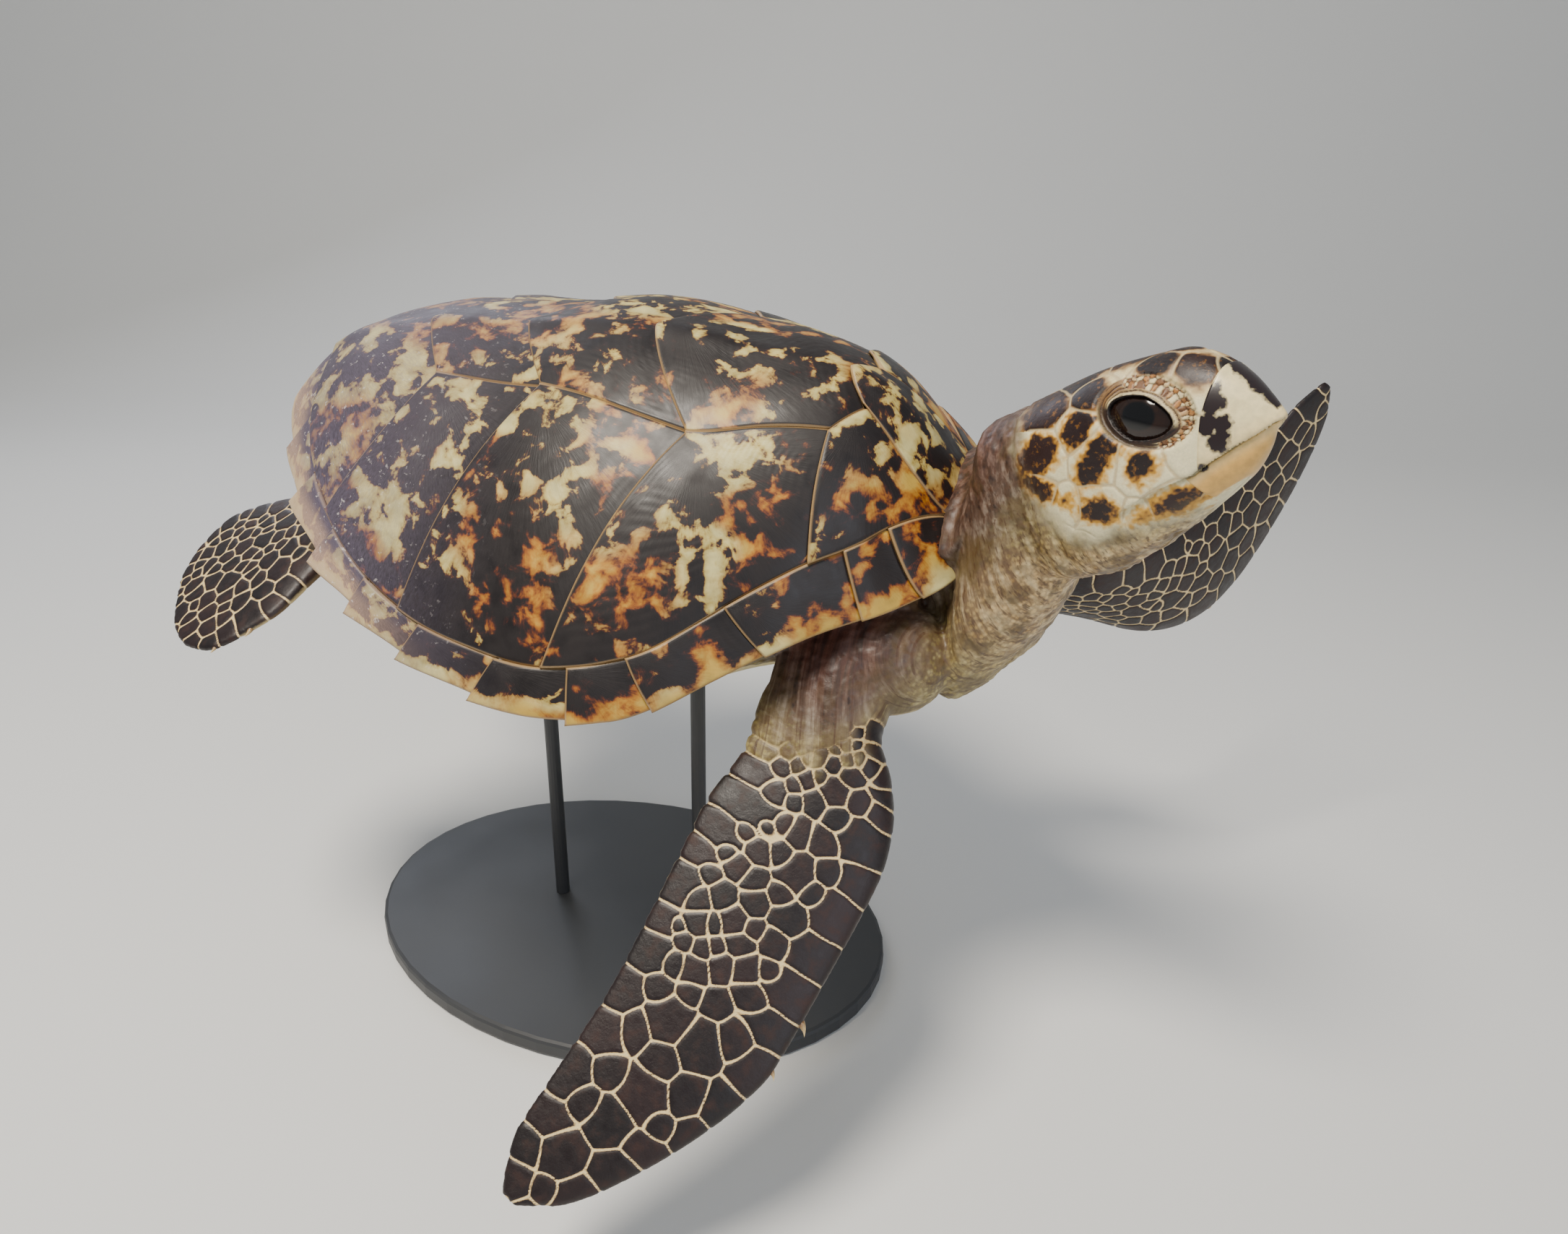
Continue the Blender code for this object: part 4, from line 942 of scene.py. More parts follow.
total = len(skin)
seam = np.full(total, 0.004)       # distance to the border of the scale, metres
tone = np.full(total, 0.5)         # the scale's own shade, 0 to 1
on_limb = np.zeros(total)          # 1 on the flippers
limb_back = np.ones(total)         # 1 on a flipper's back, 0 on its palm
limb_chart = np.zeros((total, 3))  # place along and across the flipper, for its patterns
limb_along = np.zeros(total)       # how far along the flipper, in shell lengths
scaled = np.zeros(total)           # 1 on the dark scales, 0 where the arm's skin is bare
notch = np.zeros((total, 3))       # the scallops between the scales of the rear edge
for number, name in enumerate(FLIPPERS):
    outline = FLIPPERS[name][4]
    us, places, ways, chords, normals = limb_frames(name)
    body = skin / SHELL
    box_low, box_high = places.min(0) - 0.17, places.max(0) + 0.17
    near = np.flatnonzero(((body > box_low) & (body < box_high)).all(1))
    p = body[near]
    best = np.full(len(p), 9e9)
    pick = np.zeros(len(p), int)
    for k in range(len(us)):
        gap = p - places[k]
        cost = (gap @ ways[k]) ** 2 + 0.03 * (gap ** 2).sum(1)
        closer = cost < best
        best = np.where(closer, cost, best)
        pick = np.where(closer, k, pick)
    gap = p - places[pick]
    u = us[pick] + (gap * ways[pick]).sum(1)
    v = (gap * chords[pick]).sum(1)
    h = (gap * normals[pick]).sum(1)
    front, rear, depth = (curve(table, u) for table in outline[:3])
    root = 0.05 * (1 - smooth((u - 0.02) / 0.08))
    inside = ((v < front + 0.02 + root) & (v > rear - 0.02 - root)
              & (np.abs(h) < 0.62 * depth + 0.012 + root))
    kind = "front" if number < 2 else "hind"
    start = SCALE_LAG * smooth((front - v) / (front - rear) * 1.4)
    if kind == "hind":
        start = np.full_like(u, HIND_START)
    share = smooth((u + 0.06 - start) / 0.05) * inside
    share *= smooth((us[-1] + 0.05 - u) / 0.02)
    mine = share > on_limb[near]
    rows = near[mine]
    seeds, sizes = scale_seeds(kind, outline, 11 + number)
    spot = np.stack([u, v], 1)[mine] * SHELL
    spread = np.column_stack([spot / 0.012, np.full(len(spot), number)])
    wander = np.stack([mottle(spread, 3, 1), mottle(spread + (0, 0, 7), 4, 1)], 1) - 0.5
    which, _, margin = nearest_cells(spot + 0.0016 * wander, seeds, sizes)
    size = sizes[which].min(1)
    seam[rows] = blend(0.004, np.minimum(margin * size * 0.5, 0.006), share[mine])
    # whole scales darken one by one up the shoulder, between them the skin stays pale
    rank = seeds[which][:, 0] / SHELL + 0.03 * (tone_of(which, number + 3) - 0.5)
    scaled[rows] = smooth((rank + 0.018 - start[mine]) / 0.03)
    trailing = share[mine] * smooth(1.6 - (v[mine] - rear[mine]) * SHELL / 0.006)
    trailing *= 1 - 0.7 * smooth((u[mine] - 0.20) / 0.1)
    parted = SCALLOP * trailing * (1 - smooth(seam[rows] / 0.0030))
    notch[rows] = chords[pick[mine]] * parted[:, None]
    tone[rows] = tone_of(which, number)
    on_limb[rows] = share[mine]
    # beyond this the scales of the palm turn dark as well, one by one
    palm_end = (0.26 if kind == "front" else 0.12) + 0.07 * tone_of(which, number + 5)
    limb_back[rows] = np.maximum(smooth(0.5 + h[mine] * SHELL / 0.002),
                                 smooth((rank - palm_end) / 0.004))
    limb_chart[rows] = np.column_stack([spot, np.full(len(spot), number * 0.3)])
    limb_along[rows] = u[mine]

# ---- head scales, left side; the right one mirrors it: place on the head and size as fractions
# of its length, and how much of the scale is dark
HEAD_SCALES = {
    "prefrontal_front": ((0.865, 0.030, 0.140), 0.055, 0.95),
    "prefrontal_rear": ((0.795, 0.090, 0.160), 0.078, 0.90),
    "frontal": ((0.70, 0.0, 0.243), 0.070, 0.85),
    "supraocular": ((0.665, 0.105, 0.215), 0.080, 0.92),
    "crown": ((0.52, 0.0, 0.250), 0.115, 0.95),
    "supraocular_rear": ((0.425, 0.185, 0.170), 0.080, 0.90),
    "parietal": ((0.34, 0.075, 0.240), 0.120, 0.95),
    "parietal_rear": ((0.225, 0.180, 0.160), 0.115, 1.0),
    "nape": ((0.10, 0.045, 0.210), 0.100, 0.90),
    "temporal_upper": ((0.375, 0.243, 0.060), 0.085, 0),
    "temporal_middle": ((0.435, 0.245, -0.055), 0.095, 0),
    "under_eye": ((0.592, 0.211, -0.118), 0.100, 0),
    "cheek_great": ((0.200, 0.255, 0.000), 0.115, 0),
    "cheek_lower": ((0.165, 0.254, -0.118), 0.085, 0),
    "cheek_amber": ((0.279, 0.246, -0.190), 0.065, 0),
    "jaw_corner": ((0.394, 0.221, -0.238), 0.090, 0),
    "cheek_front": ((0.710, 0.165, -0.100), 0.070, 0),
    "jaw_rear": ((0.510, 0.185, -0.290), 0.065, 0),
    "jaw_middle": ((0.630, 0.145, -0.262), 0.085, 0),
}
# dark clouds on the cheek: middle, half length, half width, slope, and how amber the ring is
CHEEK_CLOUDS = (
    ((0.200, 0.255, 0.004), 0.090, 0.068, 10, 1.2),
    ((0.382, 0.243, 0.060), 0.068, 0.052, 30, 1.1),
    ((0.443, 0.244, -0.058), 0.098, 0.050, 42, 1.3),
    ((0.592, 0.211, -0.113), 0.054, 0.036, 52, 1.2),
    ((0.166, 0.254, -0.112), 0.072, 0.034, -30, 1.3),
    ((0.279, 0.246, -0.188), 0.016, 0.014, 0, 1.6),
    ((0.394, 0.221, -0.238), 0.058, 0.040, -8, 1.3),
    ((0.640, 0.140, -0.263), 0.084, 0.025, 12, 1.7),
    ((0.175, 0.251, -0.156), 0.013, 0.013, 0, 0.8),
)
THROAT_STEP = 0.075                # spacing of the small pale scales under the jaw
head_seeds, head_sizes, head_dark = [], [], []
for (x, y, z), size, dark in HEAD_SCALES.values():
    for side in ((1, -1) if y > 0.02 else (1,)):
        head_seeds.append((x, y * side, z))
        head_sizes.append(size)
        head_dark.append(dark)
for row, x in enumerate(np.arange(0.06, 0.80, THROAT_STEP)):
    ring = head_ring(x, 44) / HEAD
    for k in range(row % 2, 44, 2):
        spot = ring[k]
        apart = min(np.linalg.norm(spot - s) / (z + 0.035) for s, z in zip(head_seeds, head_sizes))
        if spot[2] < -0.16 and apart > 1:
            head_seeds.append(tuple(spot))
            head_sizes.append(0.045)
            head_dark.append(0)
fringe = 0.09 * (mottle(head_place / 0.06, 17, 3) - 0.5)
on_head = smooth((head_place[:, 0] - 0.01 + fringe) / 0.09) * (np.abs(head_place[:, 1]) < 0.33)
on_head *= (head_place[:, 2] > -0.50) * (head_place[:, 2] < 0.34)
on_head *= smooth((head_place[:, 2] + 0.41 + fringe - 0.12 * (head_place[:, 0] - 0.3)) / 0.11)
on_head *= smooth((head_place[:, 0] - 0.05 + fringe
                   - 0.50 * np.clip(-head_place[:, 2] - 0.10, 0, 1)) / 0.14)
on_head *= on_limb < 0.01
rows = np.flatnonzero(on_head > 0)
hp = head_place[rows]
wander = np.stack([mottle(hp / 0.09, 31 + k, 2) - 0.5 for k in range(3)], 1)
which, first, margin = nearest_cells(hp + 0.022 * wander, np.array(head_seeds),
                                     np.array(head_sizes)[:, None] * np.ones(3))
head_dark = np.array(head_dark)
size = np.array(head_sizes)[which]
seam[rows] = blend(seam[rows], np.minimum(margin * size * 0.5 * HEAD, 0.006), on_head[rows])
tone[rows] = tone_of(which, 5)
ragged = mottle(hp / 0.040, 61, 3) - 0.5
crumbs = mottle(hp / 0.016, 62, 2) - 0.5
cells = np.where(head_dark[which] > 0, 1 - first / np.maximum(head_dark[which], 0.05), -1)
cells += 0.75 * ragged * (cells > -0.9)
cheek = np.full(len(rows), -1.0)
amber_ring = np.full(len(rows), 0.45)
for spot, long, across, slope, amber in CHEEK_CLOUDS:
    gap = hp * (1, 0, 1) + np.abs(hp) * (0, 1, 0) - np.array(spot)
    c, s = cos(radians(slope)), sin(radians(slope))
    d = np.sqrt(((gap[:, 0] * c + gap[:, 2] * s) / long) ** 2
                + ((gap[:, 2] * c - gap[:, 0] * s) / across) ** 2 + (gap[:, 1] / 0.12) ** 2)
    # the edge wanders by the same few millimetres, whatever the cloud's size
    value = (1 - d) * across / 0.045 + 1.0 * ragged + 0.8 * crumbs
    amber_ring = np.where(value > cheek, amber, amber_ring)
    cheek = np.maximum(cheek, value)
blot = np.full(total, -1.0)
blot[rows] = np.clip(np.maximum(cells, cheek), -1, 1)
halo = np.zeros(total)
halo[rows] = amber_ring

# ---- mouth: a line from the beak tip back under the eye, the upper jaw standing over the lower
MOUTH = ((1.0, 0.0, -0.066), (0.97, 0.033, -0.078), (0.87, 0.100, -0.120), (0.775, 0.136, -0.160),
         (0.73, 0.150, -0.186), (0.62, 0.180, -0.208), (0.50, 0.200, -0.246),
         (0.415, 0.215, -0.282))
line = np.array(MOUTH)
fine_line = np.vstack([blend(line[k], line[k + 1], f)
                       for k in range(len(line) - 1) for f in np.linspace(0, 1, 10)[:-1]])
folded = head_place.copy()
folded[:, 1] = np.abs(folded[:, 1])
close = np.full(total, 9e9)
run = np.zeros(total)
rows = np.flatnonzero((head_place[:, 0] > 0.3) & (on_limb < 0.01))
for k, spot in enumerate(fine_line):
    gap = folded[rows] - spot
    d = np.linalg.norm(gap, axis=1)
    nearer = d < close[rows]
    run[rows] = np.where(nearer, k / len(fine_line), run[rows])
    close[rows] = np.where(nearer, d, close[rows])
slope = np.interp(folded[:, 0], line[::-1, 0], line[::-1, 2])
under = slope - head_place[:, 2]                   # over 0 below the line
mouth = close * HEAD

# ---- horn of the beak: where it covers the jaws
upper_edge = 0.790 + np.where(head_place[:, 2] > 0, 0.42, 0.27) * head_place[:, 2]
on_beak = smooth((head_place[:, 0] - upper_edge) / 0.012) * (under < 0.004)
lower_edge = 0.700 + 0.5 * np.clip(-0.20 - head_place[:, 2], 0, 1)
low_beak = smooth((head_place[:, 0] - lower_edge) / 0.012) * (under > 0.004)
low_beak *= smooth((0.105 - under) / 0.012)

# ---- relief, in metres
LIMB_RISE, HEAD_RISE, PALM_RISE = 0.00060, 0.00042, 0.0003     # how far the scales stand up
FOLD_DEPTH, BEAD_DEPTH = 0.0036, 0.0011            # of the loose skin of neck and shoulders
GROOVE_DEPTH, GROOVE_HALF = 0.0011, 0.0010         # the line of the mouth
JAW_STEP, LIP_RISE, LIP_HALF = 0.0016, 0.0005, 0.0065          # how the jaws meet along it
relief = np.zeros(total)
scaly = np.maximum(on_limb * limb_back, on_head * (1 - np.maximum(on_beak, low_beak)))
rise = smooth(seam / 0.0016) - 0.55
relief += scaly * rise * np.where(on_limb > 0.2, LIMB_RISE, HEAD_RISE)
relief += on_limb * (1 - limb_back) * rise * PALM_RISE
body_skin = (1 - on_limb) * (1 - on_head)
fold_way = np.column_stack([head_place[:, 0] * HEAD, np.arctan2(head_place[:, 1],
                            head_place[:, 2] + 0.1) * 0.035, np.zeros(total)])
folds = mottle(fold_way / (0.0075, 0.030, 1), 81, 2)
beads = mottle(skin / 0.0032, 83, 1)
loose = smooth((0.62 - np.abs(skin[:, 0] / SHELL - 0.42)) / 0.2)
relief += body_skin * loose * (FOLD_DEPTH * (folds - 0.5) + BEAD_DEPTH * (beads - 0.5))
# mouth: groove, with the lower jaw set in under the upper
at_mouth = (close < 0.16) * smooth((run.max() - run) / 0.08)
relief += at_mouth * (-GROOVE_DEPTH * np.exp(-(mouth / GROOVE_HALF) ** 2))
relief += at_mouth * np.where(under > 0, -JAW_STEP, LIP_RISE) * np.exp(
    -(mouth / LIP_HALF) ** 2) * smooth(mouth / 0.0006)
skin = skin + outward * relief[:, None] + notch

# ---- eyes: an almond opening in wrinkled lids, and two rings of beads round them
EYE_LONG, EYE_HIGH, EYE_LOW = 0.116 * HEAD, 0.066 * HEAD, 0.082 * HEAD
RING_MIDDLE, RING_HALF = (0.0012, 0.0022), (0.0238, 0.0170)   # outer edge of the lids
WRINKLES = 4.5                     # folds across the width of a lid
BEAD = 0.0026                      # size of the beads
WRINKLE_RISE, BEAD_GROOVE, FACE_GROOVE = 0.00030, 0.0009, 0.0007
LID_LIP = 0.0007                   # how far the lids' edge is raised
GLASS_GAP = 0.0022                 # how far behind the glass the skin lies in the opening


def eye_axes(side):
    """Middle of the eye's opening, and the directions along the lids, up and out."""
    flip = np.array((1, side, 1))
    slit = unit(np.array((0.87, -0.12, -0.48)) * flip)
    look = np.array((0.24, 1.0, 0.10)) * flip
    look = unit(look - slit * (look @ slit))
    lift = -np.cross(look, slit) * side
    return from_head(EYE_OPENING * flip), *(head_turn @ way for way in (slit, lift, look))


def lid_beads():
    """Places and sizes of the beads in the plane of the opening, in three uneven rings."""
    random = np.random.RandomState(5)
    spots, sizes = [], []
    for share in (0.56, 0.76, 0.98):
        a = 0.0
        while a < 2 * pi:
            size = BEAD * random.uniform(0.65, 1.35)
            a += size / 0.0195 / 2
            inner = (EYE_LONG * cos(a), (EYE_HIGH if sin(a) > 0 else EYE_LOW) * sin(a))
            outer = (RING_MIDDLE[0] + RING_HALF[0] * cos(a),
                     RING_MIDDLE[1] + RING_HALF[1] * sin(a))
            way = share + random.uniform(-0.06, 0.06)
            spots.append(blend(np.array(inner), np.array(outer), way))
            sizes.append((size / 2, size / 2))
            a += size / 0.0195 / 2
    return np.array(spots), np.array(sizes)


lid = np.zeros(total)              # 1 on the lids, fading to the face
lid_line = np.full(total, 2.0)     # 0 at the opening's edge, 1 at the lids' outer edge
lid_up = np.zeros(total)           # 1 on the upper lid
lid_bead = np.zeros(total)         # 1 on the beads
lid_fold = np.zeros(total)         # 1 in the creases between wrinkles and beads
for side in (-1, 1):
    middle, slit, lift, look = eye_axes(side)
    local = np.flatnonzero((np.linalg.norm(skin - middle, axis=1) < 0.034)
                           & (head_place[:, 1] * side > 0.06))
    gap = skin[local] - middle
    ex, ey, out = gap @ slit, gap @ lift, gap @ look
    high = np.where(ey > 0, EYE_HIGH, EYE_LOW)
    inner = np.sqrt((np.abs(ex) / EYE_LONG) ** 1.45 + (ey / high) ** 2)
    outer = np.hypot((ex - RING_MIDDLE[0]) / RING_HALF[0], (ey - RING_MIDDLE[1]) / RING_HALF[1])
    across = np.where(outer < 1, np.clip(inner - 1, 0, 9)
                      / np.maximum(np.clip(inner - 1, 0, 9) + 1 - outer, 1e-6),
                      1 + (outer - 1) * 1.6)
    dome = EYE_HALF + LID_OVER
    lid_height = dome[2] * np.sqrt(np.clip(1 - (ex / dome[0]) ** 2 - (ey / dome[1]) ** 2,
                                           0, 1)) - EYE_HALF[2]
    glass_height = EYE_HALF[2] * (np.sqrt(np.clip(1 - (ex / EYE_HALF[0]) ** 2
                                                  - (ey / EYE_HALF[1]) ** 2, 0, 1)) - 1)
    around = np.arctan2(ey, ex)
    wobble = mottle(np.column_stack([ex / 0.006, ey / 0.006, ex * 0]), 95) - 0.5
    wave = np.cos(2 * pi * (across * WRINKLES + 0.9 * wobble + 0.15 * np.sin(around * 3)))
    # beads above and in front of the eye only, wrinkles to the edge of the lids elsewhere
    beaded = smooth((ey / 0.010 + ex / 0.012 + 0.35 + wobble) / 0.5)
    in_lid = smooth((across - 0.10) / 0.06) * smooth((blend(0.98, 0.50, beaded) - across) / 0.06)
    bead_row = beaded * smooth((across - 0.44) / 0.06) * smooth((1.10 - across) / 0.06)
    which, _, margin = nearest_cells(np.column_stack([ex, ey]) + 0.0008 * wobble[:, None],
                                     *lid_beads())
    groove = smooth((0.55 - margin) / 0.55)
    lid_height += in_lid * WRINKLE_RISE * wave - bead_row * BEAD_GROOVE * groove
    lid_height += LID_LIP * np.exp(-((across - 0.05) / 0.05) ** 2)
    share = 1 - smooth((across - 0.62) / 0.55)
    surface = blend(out - bead_row * FACE_GROOVE * groove, lid_height, share)
    opening = smooth((1.03 - inner) / 0.06)
    surface = blend(surface, np.minimum(glass_height - GLASS_GAP, surface), opening)
    skin[local] += look * (surface - out)[:, None]
    fade = smooth((1.02 + 0.10 * wobble - across) / 0.06)
    lid[local] = np.maximum(lid[local], fade)
    lid_line[local] = np.minimum(lid_line[local], across)
    lid_up[local] = smooth(ey / 0.004 + 0.5 + wobble)
    lid_fold[local] = np.maximum(in_lid * smooth((-0.1 - wave) / 0.7), bead_row * groove)
    lid_bead[local] = bead_row
    tone[local] = np.where(bead_row > 0.5, tone_of(which, 9), tone[local])
set_coords(skin_mesh, skin)


# painted shade: a dark line along the mouth's groove, under the upper jaw's overhang
mouth_shade = at_mouth * np.exp(-(mouth / 0.0007) ** 2) * 0.8
throat = smooth((-head_place[:, 2] - 0.22) / 0.25) * smooth((head_place[:, 0] + 0.55) / 0.4)
# painted shade: under the shell's front rim the skin turns purple-grey, and dark maroon nearest
# the rim
rim_gap = skin[:, 0] / SHELL - 0.44 - 0.35 * np.clip(skin[:, 2] / SHELL, -0.2, 0.2)
shade = smooth((0.12 - rim_gap) / 0.19) * smooth((skin[:, 0] / SHELL - 0.25) / 0.05) * 0.85
shade *= smooth((skin[:, 2] / SHELL + 0.135) / 0.11)
chart = np.where(on_limb[:, None] > 0.5, limb_chart + (0, 0, 5.0), head_place * HEAD)
fields = {"seam": seam, "tone": tone, "blot": blot, "halo": halo, "on_limb": on_limb,
          "limb_back": limb_back, "on_head": on_head, "lid": lid, "lid_line": lid_line,
          "lid_up": lid_up, "lid_bead": lid_bead, "lid_fold": lid_fold, "shade": shade,
          "scaled": scaled, "mouth_shade": mouth_shade, "chart": chart,
          "fold_chart": fold_way / (0.0045, 0.011, 1), "limb_along": limb_along,
          "throat": throat}
store(skin_mesh, **fields)


# Reptile hide: dry keratin scales over loose, folded skin.  Near-black maroon scales in pale
# peach borders on the flippers, dark clouds ringed with amber on a cream head, olive neck.
def make_hide():
    hide = new_material("reptile_hide", Specular_IOR_Level=0.45, Coat_Weight=0.10,
                        Coat_Roughness=0.3)
    at = {name: node(hide, "Attribute", out="Vector" if "chart" in name else "Fac",
                     attribute_name=name) for name in fields}
    grain = node(hide, "TexNoise", (at["chart"], 900.0, 4.0, 0.65))
    cloud = node(hide, "TexNoise", (at["chart"], 130.0, 4.0))
    patches = node(hide, "TexNoise", (at["chart"], 48.0, 4.0))
    flecks = node(hide, "TexNoise", (at["chart"], 330.0, 3.0, 0.6))
    beads = node(hide, "TexVoronoi", {"Vector": at["chart"], "Scale": 330.0})
    folds = node(hide, "TexNoise", (at["fold_chart"], 1.0, 4.0, 0.6))
    dashes = node(hide, "TexNoise", (at["fold_chart"], 2.6, 3.0))

    # neck, shoulders and belly
    olive = node(hide, "ValToRGB", (cloud,),
                 stops=((0.34, "#75642f"), (0.48, "#a3914f"), (0.62, "#c9ba80")))
    purple = node(hide, "ValToRGB", (folds,),
                  stops=((0.38, "#33261f"), (0.50, "#5e4f42"), (0.62, "#8d8172")))
    pale_throat = node(hide, "ValToRGB", (folds,),
                       stops=((0.38, "#93713c"), (0.47, "#c9a870"), (0.64, "#dfc795")))
    neck = node(hide, "Mix", (at["throat"], olive, pale_throat))
    # painted shade under the shell's front rim: purple-grey further out, dark maroon nearest it
    neck = layer(hide, neck, purple, at["shade"], 0.0, 0.5)
    between_beads = node(hide, "MapRange", (beads, 0.25, 0.55, 0.0, 0.75))
    in_folds = node(hide, "MapRange", (folds, 0.38, 0.56, 1.0, 0.45))
    gaps = node(hide, "Math", (between_beads, in_folds), operation="MULTIPLY")
    neck = node(hide, "Mix", (gaps, neck, "#5a4433"))
    neck = layer(hide, neck, "#5b4a2c", patches, 0.50, 0.58, 0.0, 0.7)
    neck = layer(hide, neck, "#4c3320", dashes, 0.56, 0.64, 0.0, 0.75)
    shaded = layer(hide, "#2c1614", "#5c342a", folds, 0.4, 0.6)
    neck = layer(hide, neck, shaded, at["shade"], 0.45, 0.85, 0.0, 0.9)

    # flippers: back and palm
    broken = node(hide, "Math", (grain, 0.0007, at["seam"]), operation="MULTIPLY_ADD")
    border = node(hide, "MapRange", (broken, 0.00040, 0.00130))
    inner = node(hide, "Mix", (at["tone"], "#100708", "#211010"))
    inner = layer(hide, inner, "#472514", cloud, 0.50, 0.75, 0.0, 0.35)
    inner = node(hide, "Mix", (at["scaled"], neck, inner))
    pale = layer(hide, "#b09a6c", "#ead39b", at["limb_along"], -0.03, 0.12)
    pale = layer(hide, neck, pale, at["scaled"], 0.0, 1.0, 0.25, 1.0)
    fringe = node(hide, "ValToRGB", (border,),
                  stops=((0.0, "#ead39b"), (0.35, "#b98338"), (0.62, "#4a2510"),
                         (0.90, "#150909")))
    fringe = node(hide, "Mix", (at["scaled"], neck, fringe))
    scale = layer(hide, fringe, inner, border, 0.55, 0.95)
    scale = layer(hide, pale, scale, border, 0.25, 0.75)
    palm = layer(hide, "#e0cf9d", "#b99c62", border, 0.3, 0.9, 0.0, 0.5)
    palm = layer(hide, palm, "#4b2b1c", at["tone"], 0.72, 0.80, 0.0, 0.8)
    flipper = node(hide, "Mix", (at["limb_back"], palm, scale))

    # head
    cream = node(hide, "Mix", (cloud, "#d6cc9c", "#ece3bd"))
    line = node(hide, "MapRange", (at["seam"], 0.00010, 0.00085, 0.75, 0.0))
    face = node(hide, "Mix", (line, cream, "#a0917b"))
    ring = node(hide, "MapRange", (at["blot"], -0.70, -0.05))
    ring = node(hide, "Math", (ring, at["halo"]), operation="MULTIPLY")
    face = node(hide, "Mix", (ring, face, "#cd9a35"))
    face = layer(hide, face, "#6e4010", at["blot"], -0.28, 0.02, 0.0, 0.85)
    dark = node(hide, "Mix", (at["tone"], "#150a0a", "#26110e"))
    dark = layer(hide, dark, "#7b5013", flecks, 0.56, 0.68, 0.0, 0.8)
    face = layer(hide, face, dark, at["blot"], -0.06, 0.14)
    seams = node(hide, "Math", (line, 1.1), operation="MULTIPLY")
    face = node(hide, "Mix", (seams, face, "#c7b488"))
    # upper lid: dark edge at the opening, then a painted highlight (a bright cream band just above
    # it), then brown wrinkles
    upper_lid_and_highlight = node(hide, "ValToRGB", (at["lid_line"],),
                     stops=((0.0, "#100909"), (0.08, "#241612"), (0.15, "#ded0a4"),
                            (0.30, "#bfa878"), (0.50, "#85653f")))
    lower_lid = node(hide, "ValToRGB", (at["lid_line"],),
                     stops=((0.0, "#100909"), (0.35, "#1d1410"), (0.60, "#3d2f1f"),
                            (0.88, "#655538"), (1.0, "#a3906a")))
    beaded = layer(hide, "#dccb9c", "#a9743c", at["tone"], 0.3, 0.6)
    beaded = layer(hide, beaded, "#6f4b2c", at["tone"], 0.75, 0.85)
    lids = node(hide, "Mix", (at["lid_up"], lower_lid, upper_lid_and_highlight))
    for share, over in (("lid_bead", beaded), ("lid_fold", "#3c2316")):
        lids = node(hide, "Mix", (at[share], lids, over))
    face = node(hide, "Mix", (at["lid"], face, lids))
    colour = neck
    # the last layer is the painted shade along the mouth's groove
    for share, over in (("on_head", face), ("on_limb", flipper), ("mouth_shade", "#3a261d")):
        colour = node(hide, "Mix", (at[share], colour, over))
    dull = node(hide, "MapRange", (grain, 0.3, 0.7, 0.88, 1.06))
    toned = node(hide, "Mix", (1.0, colour, dull), blend_type="MULTIPLY")
    matt = node(hide, "MapRange", (cloud, 0.3, 0.7, 0.38, 0.58))
    pitted = node(hide, "Math", (beads, -0.6, grain), operation="MULTIPLY_ADD")
    bump = node(hide, "Bump", {"Strength": 0.35, "Distance": 0.0005, "Height": pitted})
    set_shader(hide, Base_Color=toned, Roughness=matt, Normal=bump)
    return hide


hide = make_hide()

# ------------------------------------------------------------ beak
# The horn sheaths of the jaws, grown over the bone: smooth cream and amber keratin with a few
# dark clouds, the upper one narrow and hooked.  Each lies on the face like a thimble.
BEAK_CLOUDS = (((0.822, 0.128, 0.062), 0.070), ((0.836, 0.126, 0.040), 0.056),
               ((0.812, 0.138, -0.030), 0.056), ((0.850, 0.122, -0.045), 0.050),
               ((0.835, 0.125, -0.085), 0.052), ((0.768, 0.145, -0.168), 0.030),
               ((0.865, 0.010, 0.130), 0.050), ((0.885, 0.012, 0.110), 0.052),
               ((0.905, 0.012, 0.086), 0.052), ((0.924, 0.010, 0.062), 0.050),
               ((0.940, 0.008, 0.038), 0.048), ((0.956, 0.006, 0.014), 0.042),
               ((0.970, 0.004, -0.010), 0.034))
SHEATH_BACK = 0.0012               # how far a sheath's inner face lies under the skin


def make_beak_horn():
    horn = new_material("beak_keratin", Roughness=0.34, Coat_Weight=0.25, Coat_Roughness=0.2,
                        IOR=1.54, Subsurface_Weight=0.05, Subsurface_Scale=0.004)
    cloud, warm = (node(horn, "Attribute", out="Fac", attribute_name=name)
                   for name in ("cloud", "warm"))
    chart = node(horn, "Attribute", out="Vector", attribute_name="chart")
    grain = node(horn, "TexNoise", (chart, 260.0, 4.0))
    pale = node(horn, "Mix", (warm, "#e9d9a6", "#d3a450"))
    streaks = node(horn, "MapRange", (grain, 0.35, 0.65, 0.86, 1.05))
    toned = node(horn, "Mix", (1.0, pale, streaks), blend_type="MULTIPLY")
    ragged = node(horn, "Math", (grain, 0.35, cloud), operation="MULTIPLY_ADD")
    clouded = layer(horn, toned, "#1d1012", ragged, 0.22, 0.30)
    bump = node(horn, "Bump", {"Strength": 0.12, "Distance": 0.0004, "Height": grain})
    set_shader(horn, Base_Color=clouded, Normal=bump)
    return horn


beak_horn = make_beak_horn()
quads = np.array([list(p.vertices) + [p.vertices[-1]] * (4 - len(p.vertices))
                  for p in skin_mesh.polygons if len(p.vertices) <= 4])
facing = normals_of(skin_mesh)


